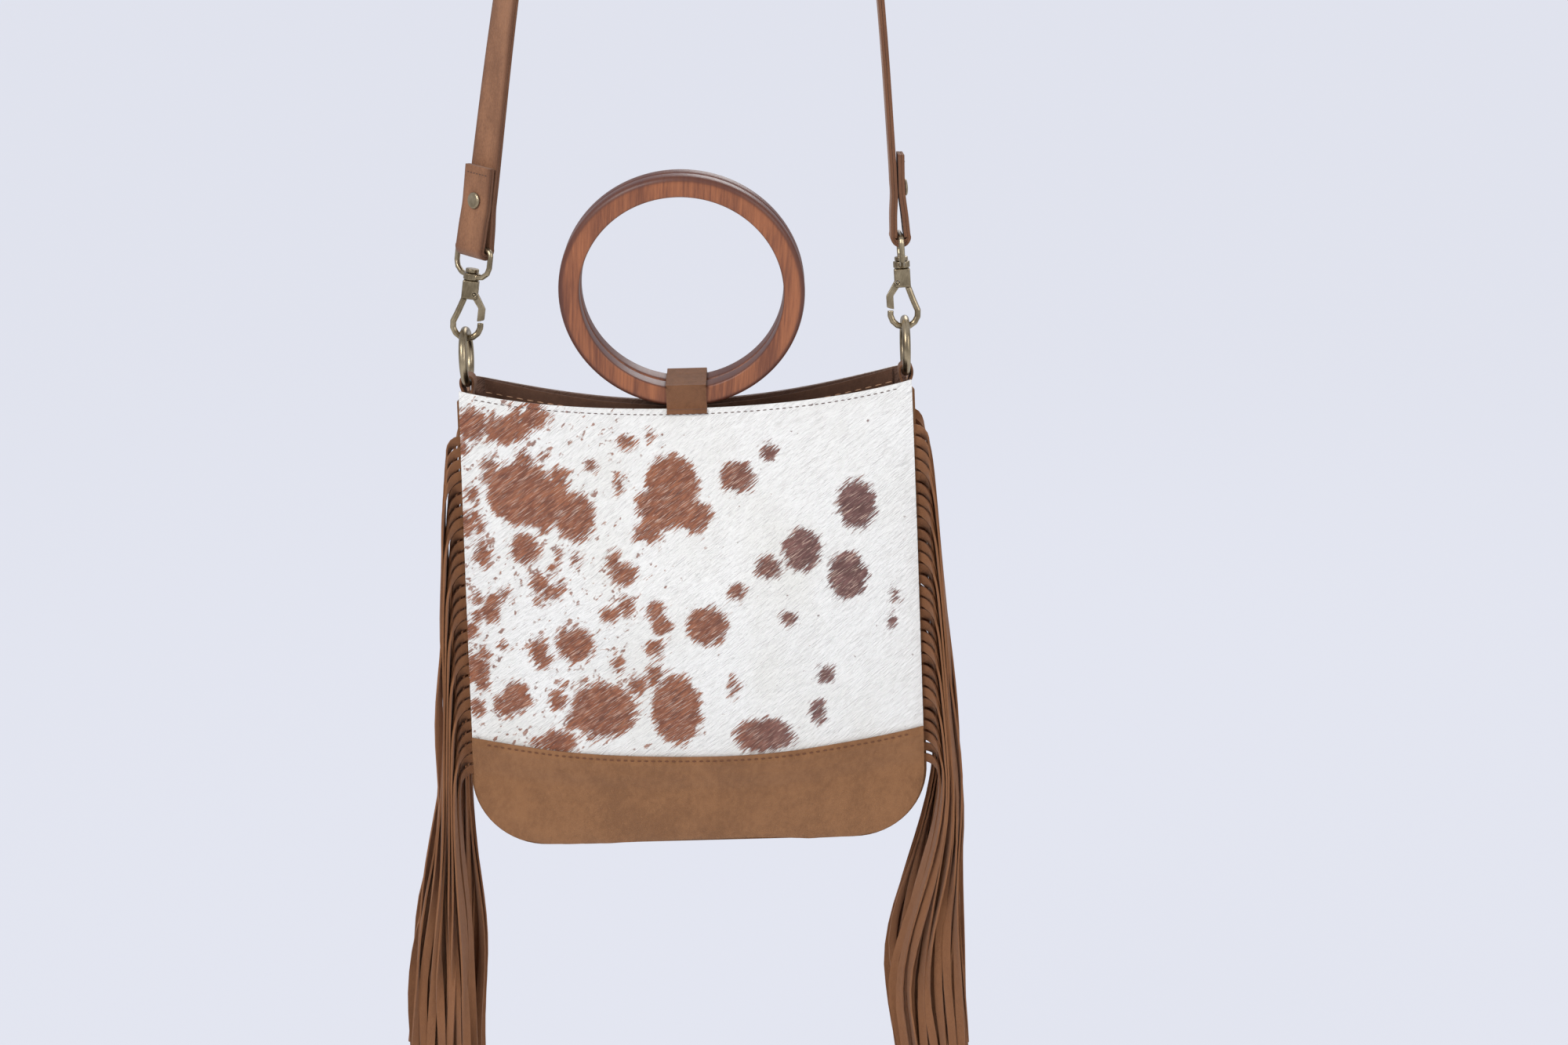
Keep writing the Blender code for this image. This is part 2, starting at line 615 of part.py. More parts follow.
def clip_hook(name, side, material):
    """Head, wire, post and riveted post head, cast as one piece."""
    frame = clip_frame(side)
    half = Vector((HOOK_HEAD_WIDTH / 2, HOOK_HEAD_DEPTH / 2, 0))
    head = box_builder(Vector((-half.x, -half.y, -HOOK_HEAD_HEIGHT)), Vector((half.x, half.y, 0)))
    bmesh.ops.bevel(
        head, geom=list(head.edges), offset=1.0 * MM, segments=2, affect="EDGES", profile=0.5
    )
    item = finish_object(name, head, material)
    wire = finish_object(name + "_wire", wire_along(hook_wire_points(side), HOOK_WIRE / 2), material)
    post_top = EYE_BOSS_HEIGHT + 2 * RUNNING_GAP + POST_HEAD_HEIGHT * 0.5
    post_low = -3 * MM
    post = finish_object(
        name + "_post",
        cylinder_builder(POST_RADIUS, post_top - post_low, Vector((0, 0, (post_top + post_low) / 2))),
        material,
    )
    head_middle = EYE_BOSS_HEIGHT + 2 * RUNNING_GAP + POST_HEAD_HEIGHT / 2
    rivet = cylinder_builder(POST_HEAD_RADIUS, POST_HEAD_HEIGHT, Vector((0, 0, head_middle)))
    post_head = finish_object(name + "_post_head", rivet, material)
    slot_half = GATE_THICKNESS / 2 + RUNNING_GAP
    pivot = gate_pivot(side)
    reach = 4.2 * MM
    slot_x = sorted((pivot.x + side * reach, -side * (half.x + 4 * MM)))
    slot = finish_object(
        name + "_slot",
        box_builder(
            Vector((slot_x[0], -slot_half, -HOOK_HEAD_HEIGHT - 6 * MM)),
            Vector((slot_x[1], slot_half, pivot.z + reach)),
        ),
        material,
    )
    pin_hole = finish_object(
        name + "_pin_hole",
        cylinder_builder(PIN_RADIUS + TOUCH_GAP, HOOK_HEAD_DEPTH * 2, pivot, "Y", 12),
        material,
    )
    add_boolean(item, slot, "DIFFERENCE")
    add_boolean(item, wire, "UNION")
    add_boolean(item, post, "UNION")
    add_boolean(item, post_head, "UNION")
    add_boolean(item, pin_hole, "DIFFERENCE")
    for piece in (item, wire, post, post_head, slot, pin_hole):
        piece.matrix_world = frame
    return item


def clip_gate(name, side, material):
    """Sprung gate from the pin down to the hook's nose; its tip is an arc about the pin."""
    frame = clip_frame(side)
    pivot = gate_pivot(side)
    nose = hook_wire_points(side)[-1]
    swing = pivot.z - (nose.z + RUNNING_GAP + 0.2 * MM)
    half = GATE_THICKNESS / 2
    outer = -side * (BIGHT_RADIUS * 0.97 + GATE_WIDTH / 2)
    inner = -side * (BIGHT_RADIUS * 0.97 - GATE_WIDTH / 2)
    tip = []
    for share in (0.0, 0.5, 1.0):
        x = outer + (inner - outer) * share
        tip.append(Vector((x, 0, pivot.z - math.sqrt(swing ** 2 - (x - pivot.x) ** 2))))
    outline = [
        Vector((pivot.x + side * 2.1 * MM, 0, pivot.z + 0.6 * MM)),
        Vector((pivot.x + side * 0.8 * MM, 0, pivot.z + 2.1 * MM)),
        Vector((pivot.x - side * 1.0 * MM, 0, pivot.z + 2.1 * MM)),
        Vector((pivot.x - side * 3.6 * MM, 0, pivot.z - 2.0 * MM)),
        Vector((outer, 0, pivot.z - 8.5 * MM)),
        *tip,
        Vector((inner, 0, pivot.z - 8.5 * MM)),
        Vector((pivot.x + side * 1.6 * MM, 0, pivot.z - 2.2 * MM)),
    ]
    builder = bmesh.new()
    face = builder.faces.new([builder.verts.new(p + Vector((0, -half, 0))) for p in outline])
    grown = bmesh.ops.extrude_face_region(builder, geom=[face])
    moved = [v for v in grown["geom"] if isinstance(v, bmesh.types.BMVert)]
    bmesh.ops.translate(builder, verts=moved, vec=(0, GATE_THICKNESS, 0))
    item = finish_object(name, builder, material)
    hole = finish_object(
        name + "_hole",
        cylinder_builder(PIN_RADIUS + RUNNING_GAP, GATE_THICKNESS * 3, pivot, "Y", 12),
        material,
    )
    add_boolean(item, hole, "DIFFERENCE")
    hole.matrix_world = frame
    item.matrix_world = frame
    return item


def gate_pin(name, side, material):
    pin = cylinder_builder(PIN_RADIUS, HOOK_HEAD_DEPTH + 0.8 * MM, gate_pivot(side), "Y", 12)
    item = finish_object(name, pin, material)
    item.matrix_world = clip_frame(side)
    return item


def eye_turn(side):
    """How far the eye has turned about the clip's axis from facing the front."""
    return math.radians(LEFT_STRAP_TURN) if side < 0 else math.radians(90)


def eye_frame(side):
    lift = Matrix.Translation((0, 0, RUNNING_GAP + EYE_BOSS_HEIGHT / 2))
    return clip_frame(side) @ lift @ Matrix.Rotation(eye_turn(side), 4, "Z")


def clip_eye(name, side, material):
    """D-shaped bow with a bored boss that the hook's post turns in."""
    half = STRAP_WIDTH / 2 + EYE_SIDE_ROOM + EYE_WIRE / 2
    corner = 3 * MM
    points = []
    for angle in (180, 205, 230):
        turn = math.radians(angle)
        points.append(Vector((half * math.cos(turn), 0, 7.5 * MM + 8.5 * MM * math.sin(turn))))
    lower = [Vector((x, 0, 0.0)) for x in (-4.4 * MM, 4.4 * MM)]
    mirrored = [Vector((-p.x, 0, p.z)) for p in reversed(points)]
    top = []
    for centre_x, angles in ((half - corner, (0, 30, 60, 90)), (-half + corner, (90, 120, 150, 180))):
        for angle in angles:
            turn = math.radians(angle)
            top.append(Vector((centre_x + corner * math.cos(turn), 0,
                               EYE_HEIGHT - corner + corner * math.sin(turn))))
    loop = points + lower + mirrored + top
    item = finish_object(name, wire_along(loop, EYE_WIRE / 2, closed=True), material)
    boss = finish_object(
        name + "_boss", cylinder_builder(EYE_BOSS_RADIUS, EYE_BOSS_HEIGHT, Vector((0, 0, 0))), material
    )
    bore = finish_object(
        name + "_bore",
        cylinder_builder(POST_RADIUS + RUNNING_GAP, EYE_BOSS_HEIGHT * 3, Vector((0, 0, 0))),
        material,
    )
    add_boolean(item, boss, "UNION")
    add_boolean(item, bore, "DIFFERENCE")
    for piece in (item, boss, bore):
        piece.matrix_world = eye_frame(side)
    return item


def strap_stations():
    """Centre and width direction of the strap, from the left flap to the right one."""
    ends = {}
    for side in (-1, 1):
        frame = eye_frame(side)
        bar = frame @ Vector((0, 0, EYE_HEIGHT))
        up = (frame.to_3x3() @ Vector((0, 0, 1))).normalized()
        width = (frame.to_3x3() @ Vector((1, 0, 0))).normalized()
        out = width.cross(up).normalized()
        if side < 0 and out.y > 0 or side > 0 and out.x < 0:
            out.negate()
        ends[side] = (bar, up, width, out)

    bend = EYE_WIRE / 2 + RUNNING_GAP + STRAP_THICKNESS / 2
    layer = (STRAP_THICKNESS + TOUCH_GAP) / 2

    def folded_end(side):
        """From the flap's cut end, down round the bar and up to the joined layers."""
        bar, up, width, out = ends[side]
        points = []
        for height, offset in ((STRAP_FLAP, 1.25), (RIVET_UP, 1.0), (RIVET_UP - 8 * MM, 1.0),
                               (13 * MM, 1.45)):
            points.append(bar + up * height + out * layer * offset)
        for angle in (25, -10, -50, -90, -130, -170, -205):
            turn = math.radians(angle)
            points.append(bar + out * bend * math.cos(turn) + up * bend * math.sin(turn))
        for height, offset in ((13 * MM, 1.45), (RIVET_UP - 8 * MM, 1.0), (RIVET_UP, 1.0),
                               (STRAP_FLAP, 1.0)):
            points.append(bar + up * height - out * layer * offset)
        return points

    left = folded_end(-1)
    right = folded_end(1)
    arch = STRAP_ARCH_RADIUS + STRAP_THICKNESS / 2
    arch_centre = Vector((HANG_OFFSET, 0, -STRAP_ARCH_RADIUS))
    crown = []
    for angle in (172, 150, 128, 108, 90, 72, 52, 30, 8):
        turn = math.radians(angle)
        crown.append(arch_centre + Vector((arch * math.cos(turn), 0, arch * math.sin(turn))))

    def rise(start, direction, finish, slope):
        """Smooth run between a folded end and the arch, as a cubic curve."""
        reach = (finish - start).length / 3
        first = start + direction * reach
        landing = Vector((slope, 0, -1)).normalized()
        second = finish + landing * reach
        points = []
        for step in range(1, 7):
            t = step / 7
            points.append(start * (1 - t) ** 3 + first * 3 * t * (1 - t) ** 2
                          + second * 3 * t * t * (1 - t) + finish * t ** 3)
        return points

    left_rise = rise(left[-1], ends[-1][1], crown[0], STRAP_SLOPES[-1])
    right_rise = rise(right[-1], ends[1][1], crown[-1], STRAP_SLOPES[1])
    left_width = ends[-1][2]
    if left_width.x < 0:
        left_width = -left_width
    right_width = ends[1][2]
    depth = Vector((0, -1, 0))
    if right_width.dot(depth) < 0:
        right_width = -right_width
    stations = [(point, left_width) for point in left]
    for step, point in enumerate(left_rise, 1):
        stations.append((point, left_width.slerp(depth, step / 7)))
    stations += [(point, depth) for point in crown]
    for step, point in enumerate(reversed(right_rise), 1):
        stations.append((point, depth.slerp(right_width, step / 7)))
    stations += [(point, right_width) for point in reversed(right)]
    return stations


def strap_band(material):
    """One flat strap from the left folded end over the peg to the right one."""
    stations = strap_stations()
    points = [point for point, width in stations]
    last = len(points) - 1
    sides, ups = [], []
    for index, (point, width) in enumerate(stations):
        before = points[max(index - 1, 0)]
        after = points[min(index + 1, last)]
        along = (after - before).normalized()
        flat = (width - along * width.dot(along)).normalized()
        sides.append(flat)
        ups.append(along.cross(flat).normalized())
    half_w, half_t = STRAP_WIDTH / 2, STRAP_THICKNESS / 2
    profile = [(-half_w, -half_t), (half_w, -half_t), (half_w, half_t), (-half_w, half_t)]
    return finish_object("strap", swept_solid(points, sides, ups, profile), material, 50)


def strap_rivet(name, side, material):
    """Domed rivet cap that lies on the outer face of the folded end."""
    frame = eye_frame(side)
    bar = frame @ Vector((0, 0, EYE_HEIGHT))
    up = (frame.to_3x3() @ Vector((0, 0, 1))).normalized()
    width = (frame.to_3x3() @ Vector((1, 0, 0))).normalized()
    out = width.cross(up).normalized()
    if side < 0 and out.y > 0 or side > 0 and out.x < 0:
        out.negate()
    surface = (STRAP_THICKNESS + TOUCH_GAP) / 2 + STRAP_THICKNESS / 2 + TOUCH_GAP
    centre = bar + up * (RIVET_UP - 4 * MM) + out * surface
    sides = 16
    dome = ((1.0, 0.0), (1.0, 0.35), (0.8, 0.8), (0.4, 1.0))
    rows = []
    for radius_share, height_share in dome:
        radius = RIVET_RADIUS * radius_share
        row = []
        for step in range(sides):
            turn = math.tau * step / sides
            round_point = width * radius * math.cos(turn) + up * radius * math.sin(turn)
            row.append(centre + round_point + out * RIVET_HEIGHT * height_share)
        rows.append(row)
    builder = grid_sheet(rows, closed_rows=True)
    builder.verts.ensure_lookup_table()
    builder.faces.new([builder.verts[i] for i in range(sides)])
    builder.faces.new([builder.verts[(len(rows) - 1) * sides + i] for i in range(sides)])
    return finish_object(name, builder, material)


def build_bag():
    clear_scene()
    hide = make_material("hair_on_hide", (0.84, 0.82, 0.78), 0.6)
    suede = make_material("brown_suede", (0.33, 0.17, 0.075), 0.95)
    strap_leather = make_material("strap_leather", (0.30, 0.14, 0.07), 0.8)
    cotton = make_material("lining_cotton", (0.25, 0.17, 0.11), 0.9)
    wood = make_material("oiled_wood", (0.33, 0.11, 0.045), 0.35)
    brass = make_material("aged_brass", (0.36, 0.29, 0.18), 0.35, 1.0)
    for facing, word in ((-1, "front"), (1, "back")):
        hide_panel(f"{word}_panel", facing, hide)
        base_panel(f"{word}_base", facing, suede)
        facing_panel(f"{word}_facing", facing, suede)
        handle_ring(f"handle_ring_{word}", facing, wood)
        handle_tab(f"handle_tab_{word}", facing, suede)
    gusset_strip(suede)
    lining_bag(cotton)
    for side, word in ((-1, "left"), (1, "right")):
        for facing, face_word in ((-1, "front"), (1, "back")):
            fringe_strip(f"fringe_{face_word}_{word}", side, facing, suede)
        o_ring(f"o_ring_{word}", side, brass)
        ring_loop(f"ring_loop_{word}", side, suede)
        clip_hook(f"clip_hook_{word}", side, brass)
        clip_gate(f"clip_gate_{word}", side, brass)
        gate_pin(f"gate_pin_{word}", side, brass)
        clip_eye(f"clip_eye_{word}", side, brass)
        strap_rivet(f"strap_rivet_{word}", side, brass)
    strap_band(strap_leather)
    for item in bpy.data.objects:
        item.matrix_world = Matrix.Translation((-HANG_OFFSET, 0, 0)) @ item.matrix_world


build_bag()
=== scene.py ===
import math
import random

import bmesh
import bpy
import numpy as np
from mathutils import Matrix, Quaternion, Vector


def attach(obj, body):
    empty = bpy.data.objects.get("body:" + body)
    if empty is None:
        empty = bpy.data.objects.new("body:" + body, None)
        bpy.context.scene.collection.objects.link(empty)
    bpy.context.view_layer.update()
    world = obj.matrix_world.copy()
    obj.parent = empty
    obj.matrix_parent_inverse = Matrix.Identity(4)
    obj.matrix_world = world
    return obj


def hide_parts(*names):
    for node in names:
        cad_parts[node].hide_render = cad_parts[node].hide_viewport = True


# %% [markdown]
# # A fringed suede bag
# The bag hangs from its strap. Its front and back are spotted hair-on hide, the
# base band and the fringes are brown suede, and two wooden rings are its handles.
# The rigid model gives every size and place. This lesson dresses it piece by piece.

# %% Load the rigid model
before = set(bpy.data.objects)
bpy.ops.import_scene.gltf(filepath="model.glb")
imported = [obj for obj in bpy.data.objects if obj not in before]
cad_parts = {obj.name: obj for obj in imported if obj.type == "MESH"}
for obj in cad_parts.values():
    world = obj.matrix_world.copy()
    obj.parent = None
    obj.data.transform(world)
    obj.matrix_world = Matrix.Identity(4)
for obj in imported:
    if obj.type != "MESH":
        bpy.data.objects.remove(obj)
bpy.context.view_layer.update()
MM = 0.001

# %% [markdown]
# ## The bag's shape as a few functions
# A panel's outline narrows a little towards the mouth and has rounded lower
# corners. A panel could be drawn point by point, but a function of the place
# across and up the panel lets every sewn piece share one surface, so that the
# hide, the band and the facing lie against each other without touching.

# %% The panel's outline and swell
BASE_Z = -955 * MM
BAG_X = -34 * MM
HEIGHT = 297 * MM
CORNER = 46 * MM


def smooth_step(value):
    value = max(0.0, min(1.0, value))
    return value * value * (3 - 2 * value)


def half_width(height):
    width = (145 - 6 * height / HEIGHT) * MM
    if height < CORNER:
        width += math.sqrt(max(CORNER ** 2 - (CORNER - max(height, 0)) ** 2, 0)) - CORNER
    return width


def half_depth(height):
    return (34 - 8 * height / HEIGHT) * MM


def panel_depth(across, height):
    """How far a panel's inner face stands from the middle plane."""
    middle = 1 - across ** 2
    pinch = 0.8 * smooth_step((height - 140 * MM) / (HEIGHT - 140 * MM))
    swell = 15 * MM * math.sin(math.pi * min(max(height / HEIGHT, 0), 1)) ** 0.7 + 2 * MM
    return half_depth(height) * (1 - pinch * middle ** 2) + swell * middle


def slack(across, height, facing):
    """Soft hollows of a hanging hide, none at the seams and under the handles."""
    above, below = smooth_step(height / (60 * MM)), smooth_step((250 * MM - height) / (70 * MM))
    free = (1 - across ** 4) * above * below
    wave = math.sin(across * 5.1 + facing + height * 17) * math.sin(height * 31 + across * 2.3 + facing)
    return 1.6 * MM * wave * free


def panel_point(across, height, outward, facing, inset=0.0):
    x = across * (half_width(height) - inset)
    share = x / half_width(height)
    depth = panel_depth(share, height) + slack(share, height, facing) + outward
    return Vector((BAG_X + x, facing * depth, BASE_Z + height))


def mouth_height(across):
    return HEIGHT - 17.5 * MM * (1 - across ** 2)


def band_height(across):
    return (62 + 12 * across ** 2) * MM


def spread(u):
    """Places across a panel, closer together towards the seams."""
    return math.sin(math.pi / 2 * u)


print("mouth", round(2 * half_width(HEIGHT), 3), "m wide, base", round(2 * half_width(CORNER), 3), "m wide")

# %% [markdown]
# ## Camera, light and background
# The photograph is taken from a little above, with the bag left of the middle and
# leaning by a degree and a half. A 50 mm lens at 1.4 m gives its soft perspective.
# Even light from all sides shows a colour as it is written, and two large lamps
# shape the folds. The background is pale for the camera and in reflections only.

# %% Wrap nodes so that materials read as Python
def arithmetic(operation):
    """An operator that adds a Math node, and its reflected form."""
    def forward(self, other):
        return self.finish.node("Math", {"operation": operation}, {0: self, 1: other})

    def reflected(self, other):
        return self.finish.node("Math", {"operation": operation}, {0: other, 1: self})

    return forward, reflected


class Value:
    """A node's output socket that Python's operators work on."""
    __add__, __radd__ = arithmetic("ADD")
    __sub__, __rsub__ = arithmetic("SUBTRACT")
    __mul__, __rmul__ = arithmetic("MULTIPLY")

    def __init__(self, finish, socket):
        self.finish, self.socket = finish, socket

    def ramp(self, low, high):
        """0 below low, 1 above high and a smooth step between."""
        inputs = {"Value": self, "From Min": low, "From Max": high}
        return self.finish.node("MapRange", {"interpolation_type": "SMOOTHSTEP"}, inputs)

    def larger(self, other):
        return self.finish.node("Math", {"operation": "MAXIMUM"}, {0: self, 1: other})


class Nodes:
    """A node tree that is built one call at a time."""
    def __init__(self, tree):
        self.tree = tree

    def node(self, kind, settings=None, inputs=None, output=0):
        made = self.tree.nodes.new("ShaderNode" + kind)
        for key, value in (settings or {}).items():
            setattr(made, key, value)
        self.feed(made, inputs or {})
        return Value(self, made.outputs[output])

    def feed(self, node, inputs):
        for key, value in inputs.items():
            if isinstance(value, Value):
                self.tree.links.new(value.socket, node.inputs[key])
            else:
                node.inputs[key].default_value = value


# %% Place the camera
PHOTO_SCALE = 0.5 * MM          # metres to a pixel of the photograph, at the bag
middle = Vector((24.5 * MM, 0, -754 * MM))
pitch, roll = math.radians(15.0), math.radians(-1.5)
distance = 2000 * PHOTO_SCALE * 50 / 36
camera_data = bpy.data.cameras.new("camera")
camera_data.lens, camera_data.sensor_width = 50, 36
camera_data.clip_start, camera_data.clip_end = 0.05, 100
camera = bpy.data.objects.new("camera", camera_data)
bpy.context.scene.collection.objects.link(camera)
back = Vector((0, -math.cos(pitch), math.sin(pitch)))
camera.location = middle + back * distance
camera.rotation_mode = "QUATERNION"
camera.rotation_quaternion = (-back).to_track_quat("-Z", "Y") @ Quaternion((0, 0, 1), roll)
bpy.context.scene.camera = camera
print("camera", [round(v, 3) for v in camera.location])

# %% Light the world and hang two soft lamps
bpy.context.scene.view_settings.view_transform = "Standard"
PALE = (0.77, 0.79, 0.88, 1)
world = bpy.data.worlds.new("studio")
bpy.context.scene.world = world
world.use_nodes = True
sky = Nodes(world.node_tree)
ray = world.node_tree.nodes.new("ShaderNodeLightPath")
seen = Value(sky, ray.outputs["Is Camera Ray"]).larger(Value(sky, ray.outputs["Is Transmission Ray"]))
glossy = Value(sky, ray.outputs["Is Glossy Ray"])
room = (1, 1, 1, 1)
colour = sky.node("Mix", {"data_type": "RGBA"}, {0: seen.larger(glossy), 6: room, 7: PALE}, output=2)
strength = seen.larger(glossy * 0.8).larger(0.58)
sky.feed(world.node_tree.nodes["Background"], {"Color": colour, "Strength": strength})


def soft_lamp(name, place, size, power):
    lamp = bpy.data.lights.new(name, "AREA")
    lamp.shape, lamp.size, lamp.energy = "DISK", size, power
    item = bpy.data.objects.new(name, lamp)
    bpy.context.scene.collection.objects.link(item)
    item.location = place
    item.rotation_mode = "QUATERNION"
    item.rotation_quaternion = (Vector((0, 0, -0.75)) - Vector(place)).to_track_quat("-Z", "Y")


soft_lamp("key_lamp", (-1.5, -2.0, 0.9), 1.3, 42)
soft_lamp("fill_lamp", (2.2, -1.6, 0.2), 1.6, 18)
soft_lamp("rim_lamp", (0.6, 2.2, 1.0), 1.4, 20)

# %% [markdown]
# ## Floor
# A plain floor lies a little under the fringes. Seen by the camera it is as pale as
# the background, and its shadow is kept by mixing that pale light with a matt white.

# %% Lay the floor
bpy.ops.object.select_all(action="DESELECT")
bpy.ops.mesh.primitive_plane_add(size=300, location=(0, 0, -1.40))
floor = bpy.context.object
floor.name = "floor"
bpy.ops.object.transform_apply(location=True, rotation=True, scale=True)
floor_material = bpy.data.materials.new("pale_floor")
floor_material.use_nodes = True
paper = Nodes(floor_material.node_tree)
paper.tree.nodes.remove(paper.tree.nodes["Principled BSDF"])
floor_ray = Value(paper, paper.tree.nodes.new("ShaderNodeLightPath").outputs["Is Camera Ray"])
matt = paper.node("BsdfDiffuse", {}, {"Color": (0.80, 0.81, 0.86, 1)})
glow = paper.node("Emission", {}, {"Color": PALE, "Strength": 1.0})
surface = paper.node("MixShader", {}, {0: floor_ray * 0.93, 1: matt, 2: glow})
paper.feed(paper.tree.nodes["Material Output"], {"Surface": surface})
floor.data.materials.append(floor_material)

# %% [markdown]
# ## Materials
# A material starts from noise of the right grain. Grain is given as its size in
# metres along three directions, so hair and nap can run downwards. Each finish has
# a colour that varies, and a bump for the relief that is too fine to model.

# %% A class for finishes
class Finish(Nodes):
    def __init__(self, name, roughness, **constants):
        self.material = bpy.data.materials.new(name)
        self.material.use_nodes = True
        super().__init__(self.material.node_tree)
        self.shader = self.tree.nodes["Principled BSDF"]
        self.feed(self.shader, {"Roughness": roughness})
        self.feed(self.shader, {key.replace("_", " "): value for key, value in constants.items()})
        self.place = self.node("TexCoord", output="Object")

    def noise(self, grain, turn=0.0, detail=3, rough=0.55):
        """Noise whose grains have the size in metres along x, y and z, turned about y."""
        settings = {"vector_type": "TEXTURE"}
        inputs = {"Vector": self.place, "Rotation": (0, math.radians(turn), 0), "Scale": grain}
        vector = self.node("Mapping", settings, inputs)
        shape = {"Vector": vector, "Scale": 1, "Detail": detail, "Roughness": rough}
        return self.node("TexNoise", {}, shape)

    def attribute(self, name):
        return self.node("Attribute", {"attribute_name": name}, output="Fac")

    def mix(self, share, first, second, way="MIX"):
        settings = {"data_type": "RGBA", "blend_type": way}
        return self.node("Mix", settings, {0: share, 6: first, 7: second}, output=2)

    def show(self, colour, height=None, depth=0.0003, roughness=None):
        """Feeds the shader its colour, relief and changing roughness."""
        self.feed(self.shader, {"Base Color": colour})
        if height is not None:
            bump = self.node("Bump", {}, {"Height": height, "Distance": depth, "Strength": 1.0})
            self.feed(self.shader, {"Normal": bump})
        if roughness is not None:
            self.feed(self.shader, {"Roughness": roughness})


# %% [markdown]
# ### Hair-on hide
# The hide is white with red-brown spots that turn darker and purple to one side.
# An image of a hide would be simple, but a spot here is a smooth field on the mesh,
# stored in millimetres from its edge. Hair-shaped noise added to that field gives
# each spot its ragged edge, combed the way the hair lies. The same noise also paints
# shade between the hairs, grey on the white and darker in the spots. The flesh side,
# which shows inside the mouth, is plain brown: there the normal points at the middle plane.

# %% The hide's finish
HAIR_TURN = 52


def hair_hide():
    hide = Finish("spotted_hair_hide", 0.6, Sheen_Weight=0.15)
    tuft = hide.noise((2.4 * MM, 6 * MM, 8 * MM), HAIR_TURN, 3)
    hair = hide.noise((0.60 * MM, 4 * MM, 9 * MM), HAIR_TURN, 2)
    fine = hide.noise((0.42 * MM, 3 * MM, 8 * MM), HAIR_TURN + 5, 2)
    field = hide.attribute("marks") + (tuft - 0.5) * 10 + (hair - 0.5) * 15
    spot = field.ramp(-0.9, 1.3)
    speck_noise = hide.noise((4.2 * MM, 6 * MM, 6.5 * MM), HAIR_TURN, 2, 0.6)
    speck_field = speck_noise + hide.attribute("specks") * 0.105 + (hair - 0.5) * 0.16
    speck = speck_field.ramp(0.70, 0.78) * 0.85
    brown = spot.larger(speck)
    crossing = fine.ramp(0.56, 0.66) * 0.75
    cloud = hide.noise((0.05, 0.05, 0.07), 0, 3).ramp(0.35, 0.7)
    cream = hide.mix(cloud, (0.91, 0.905, 0.895, 1), (0.85, 0.84, 0.81, 1))
    # painted shade: the white hair turns grey between the hair strands, where the hair noise is low
    white_hair_and_shade = hide.mix(hair.ramp(0.5, 0.28), cream, (0.76, 0.745, 0.73, 1))
    red = hide.mix(tuft.ramp(0.35, 0.7), (0.21, 0.062, 0.028, 1), (0.37, 0.130, 0.060, 1))
    plum = hide.mix(tuft.ramp(0.35, 0.7), (0.115, 0.045, 0.040, 1), (0.21, 0.095, 0.085, 1))
    spot_colour_and_shade = hide.mix(hide.attribute("darkness"), red, plum)
    # painted shade: the spot colour darkens between the hair strands, where the hair noise is low
    spot_colour_and_shade = hide.mix(hair.ramp(0.52, 0.34) * 0.65, spot_colour_and_shade, (0.09, 0.035, 0.025, 1))
    spot_colour_and_shade = hide.mix(crossing, spot_colour_and_shade, (0.66, 0.47, 0.38, 1))
    normal = hide.node("SeparateXYZ", {}, {0: hide.node("TexCoord", output="Normal")}, output=1)
    depth = hide.node("SeparateXYZ", {}, {0: hide.place}, output=1)
    flesh_side = (normal * depth).ramp(0.0, -0.002)
    colour = hide.mix(flesh_side, hide.mix(brown, white_hair_and_shade, spot_colour_and_shade), (0.130, 0.058, 0.032, 1))
    hide.show(colour, hair + fine * 0.5 + tuft * 1.2, 0.9 * MM)
    return hide.material


hide_material = hair_hide()
print("hide nodes:", len(hide_material.node_tree.nodes))

# %% [markdown]
# ### Suede
# Suede is the flesh side of leather, brushed to a nap. It has no gloss, it is
# blotched where the nap lies both ways, and pale fibres stand out of it. One
# function makes the band, the fringes, the tabs and the darker facings.

# %% Suede in four shades
def suede(name, colour, depth=0.5 * MM, by_strand=False):
    nap = Finish(name, 0.95, Sheen_Weight=0.10, Sheen_Roughness=0.6)
    cloud = nap.noise((24 * MM, 24 * MM, 30 * MM), 0, 3)
    brushed = nap.noise((3.2 * MM, 3.2 * MM, 5 * MM), 12, 4, 0.65)
    fibre = nap.noise((0.42 * MM, 0.42 * MM, 0.8 * MM), -15, 2, 0.7)
    tone = (cloud * 0.5 + brushed * 0.5).ramp(0.36, 0.64)
    if by_strand:
        tone = (tone * 0.45 + nap.attribute("tone") * 0.55)
    dark = (colour[0] * 0.84, colour[1] * 0.81, colour[2] * 0.77, 1)
    light = (colour[0] * 1.13, colour[1] * 1.14, colour[2] * 1.15, 1)
    pale = (min(colour[0] * 1.9, 1), min(colour[1] * 2.2, 1), min(colour[2] * 2.6, 1), 1)
    shade = nap.mix(tone, dark, light)
    shade = nap.mix(fibre.ramp(0.60, 0.76) * 0.55, shade, pale)
    shade = nap.mix(fibre.ramp(0.42, 0.22) * 0.35, shade, dark)
    nap.show(shade, fibre + brushed * 0.8, depth)
    return nap.material


band_suede = suede("band_suede", (0.265, 0.118, 0.046))
fringe_suede = suede("fringe_suede", (0.245, 0.098, 0.036), by_strand=True)
facing_suede = suede("facing_suede", (0.130, 0.058, 0.032))
tab_suede = suede("tab_suede", (0.190, 0.078, 0.032))
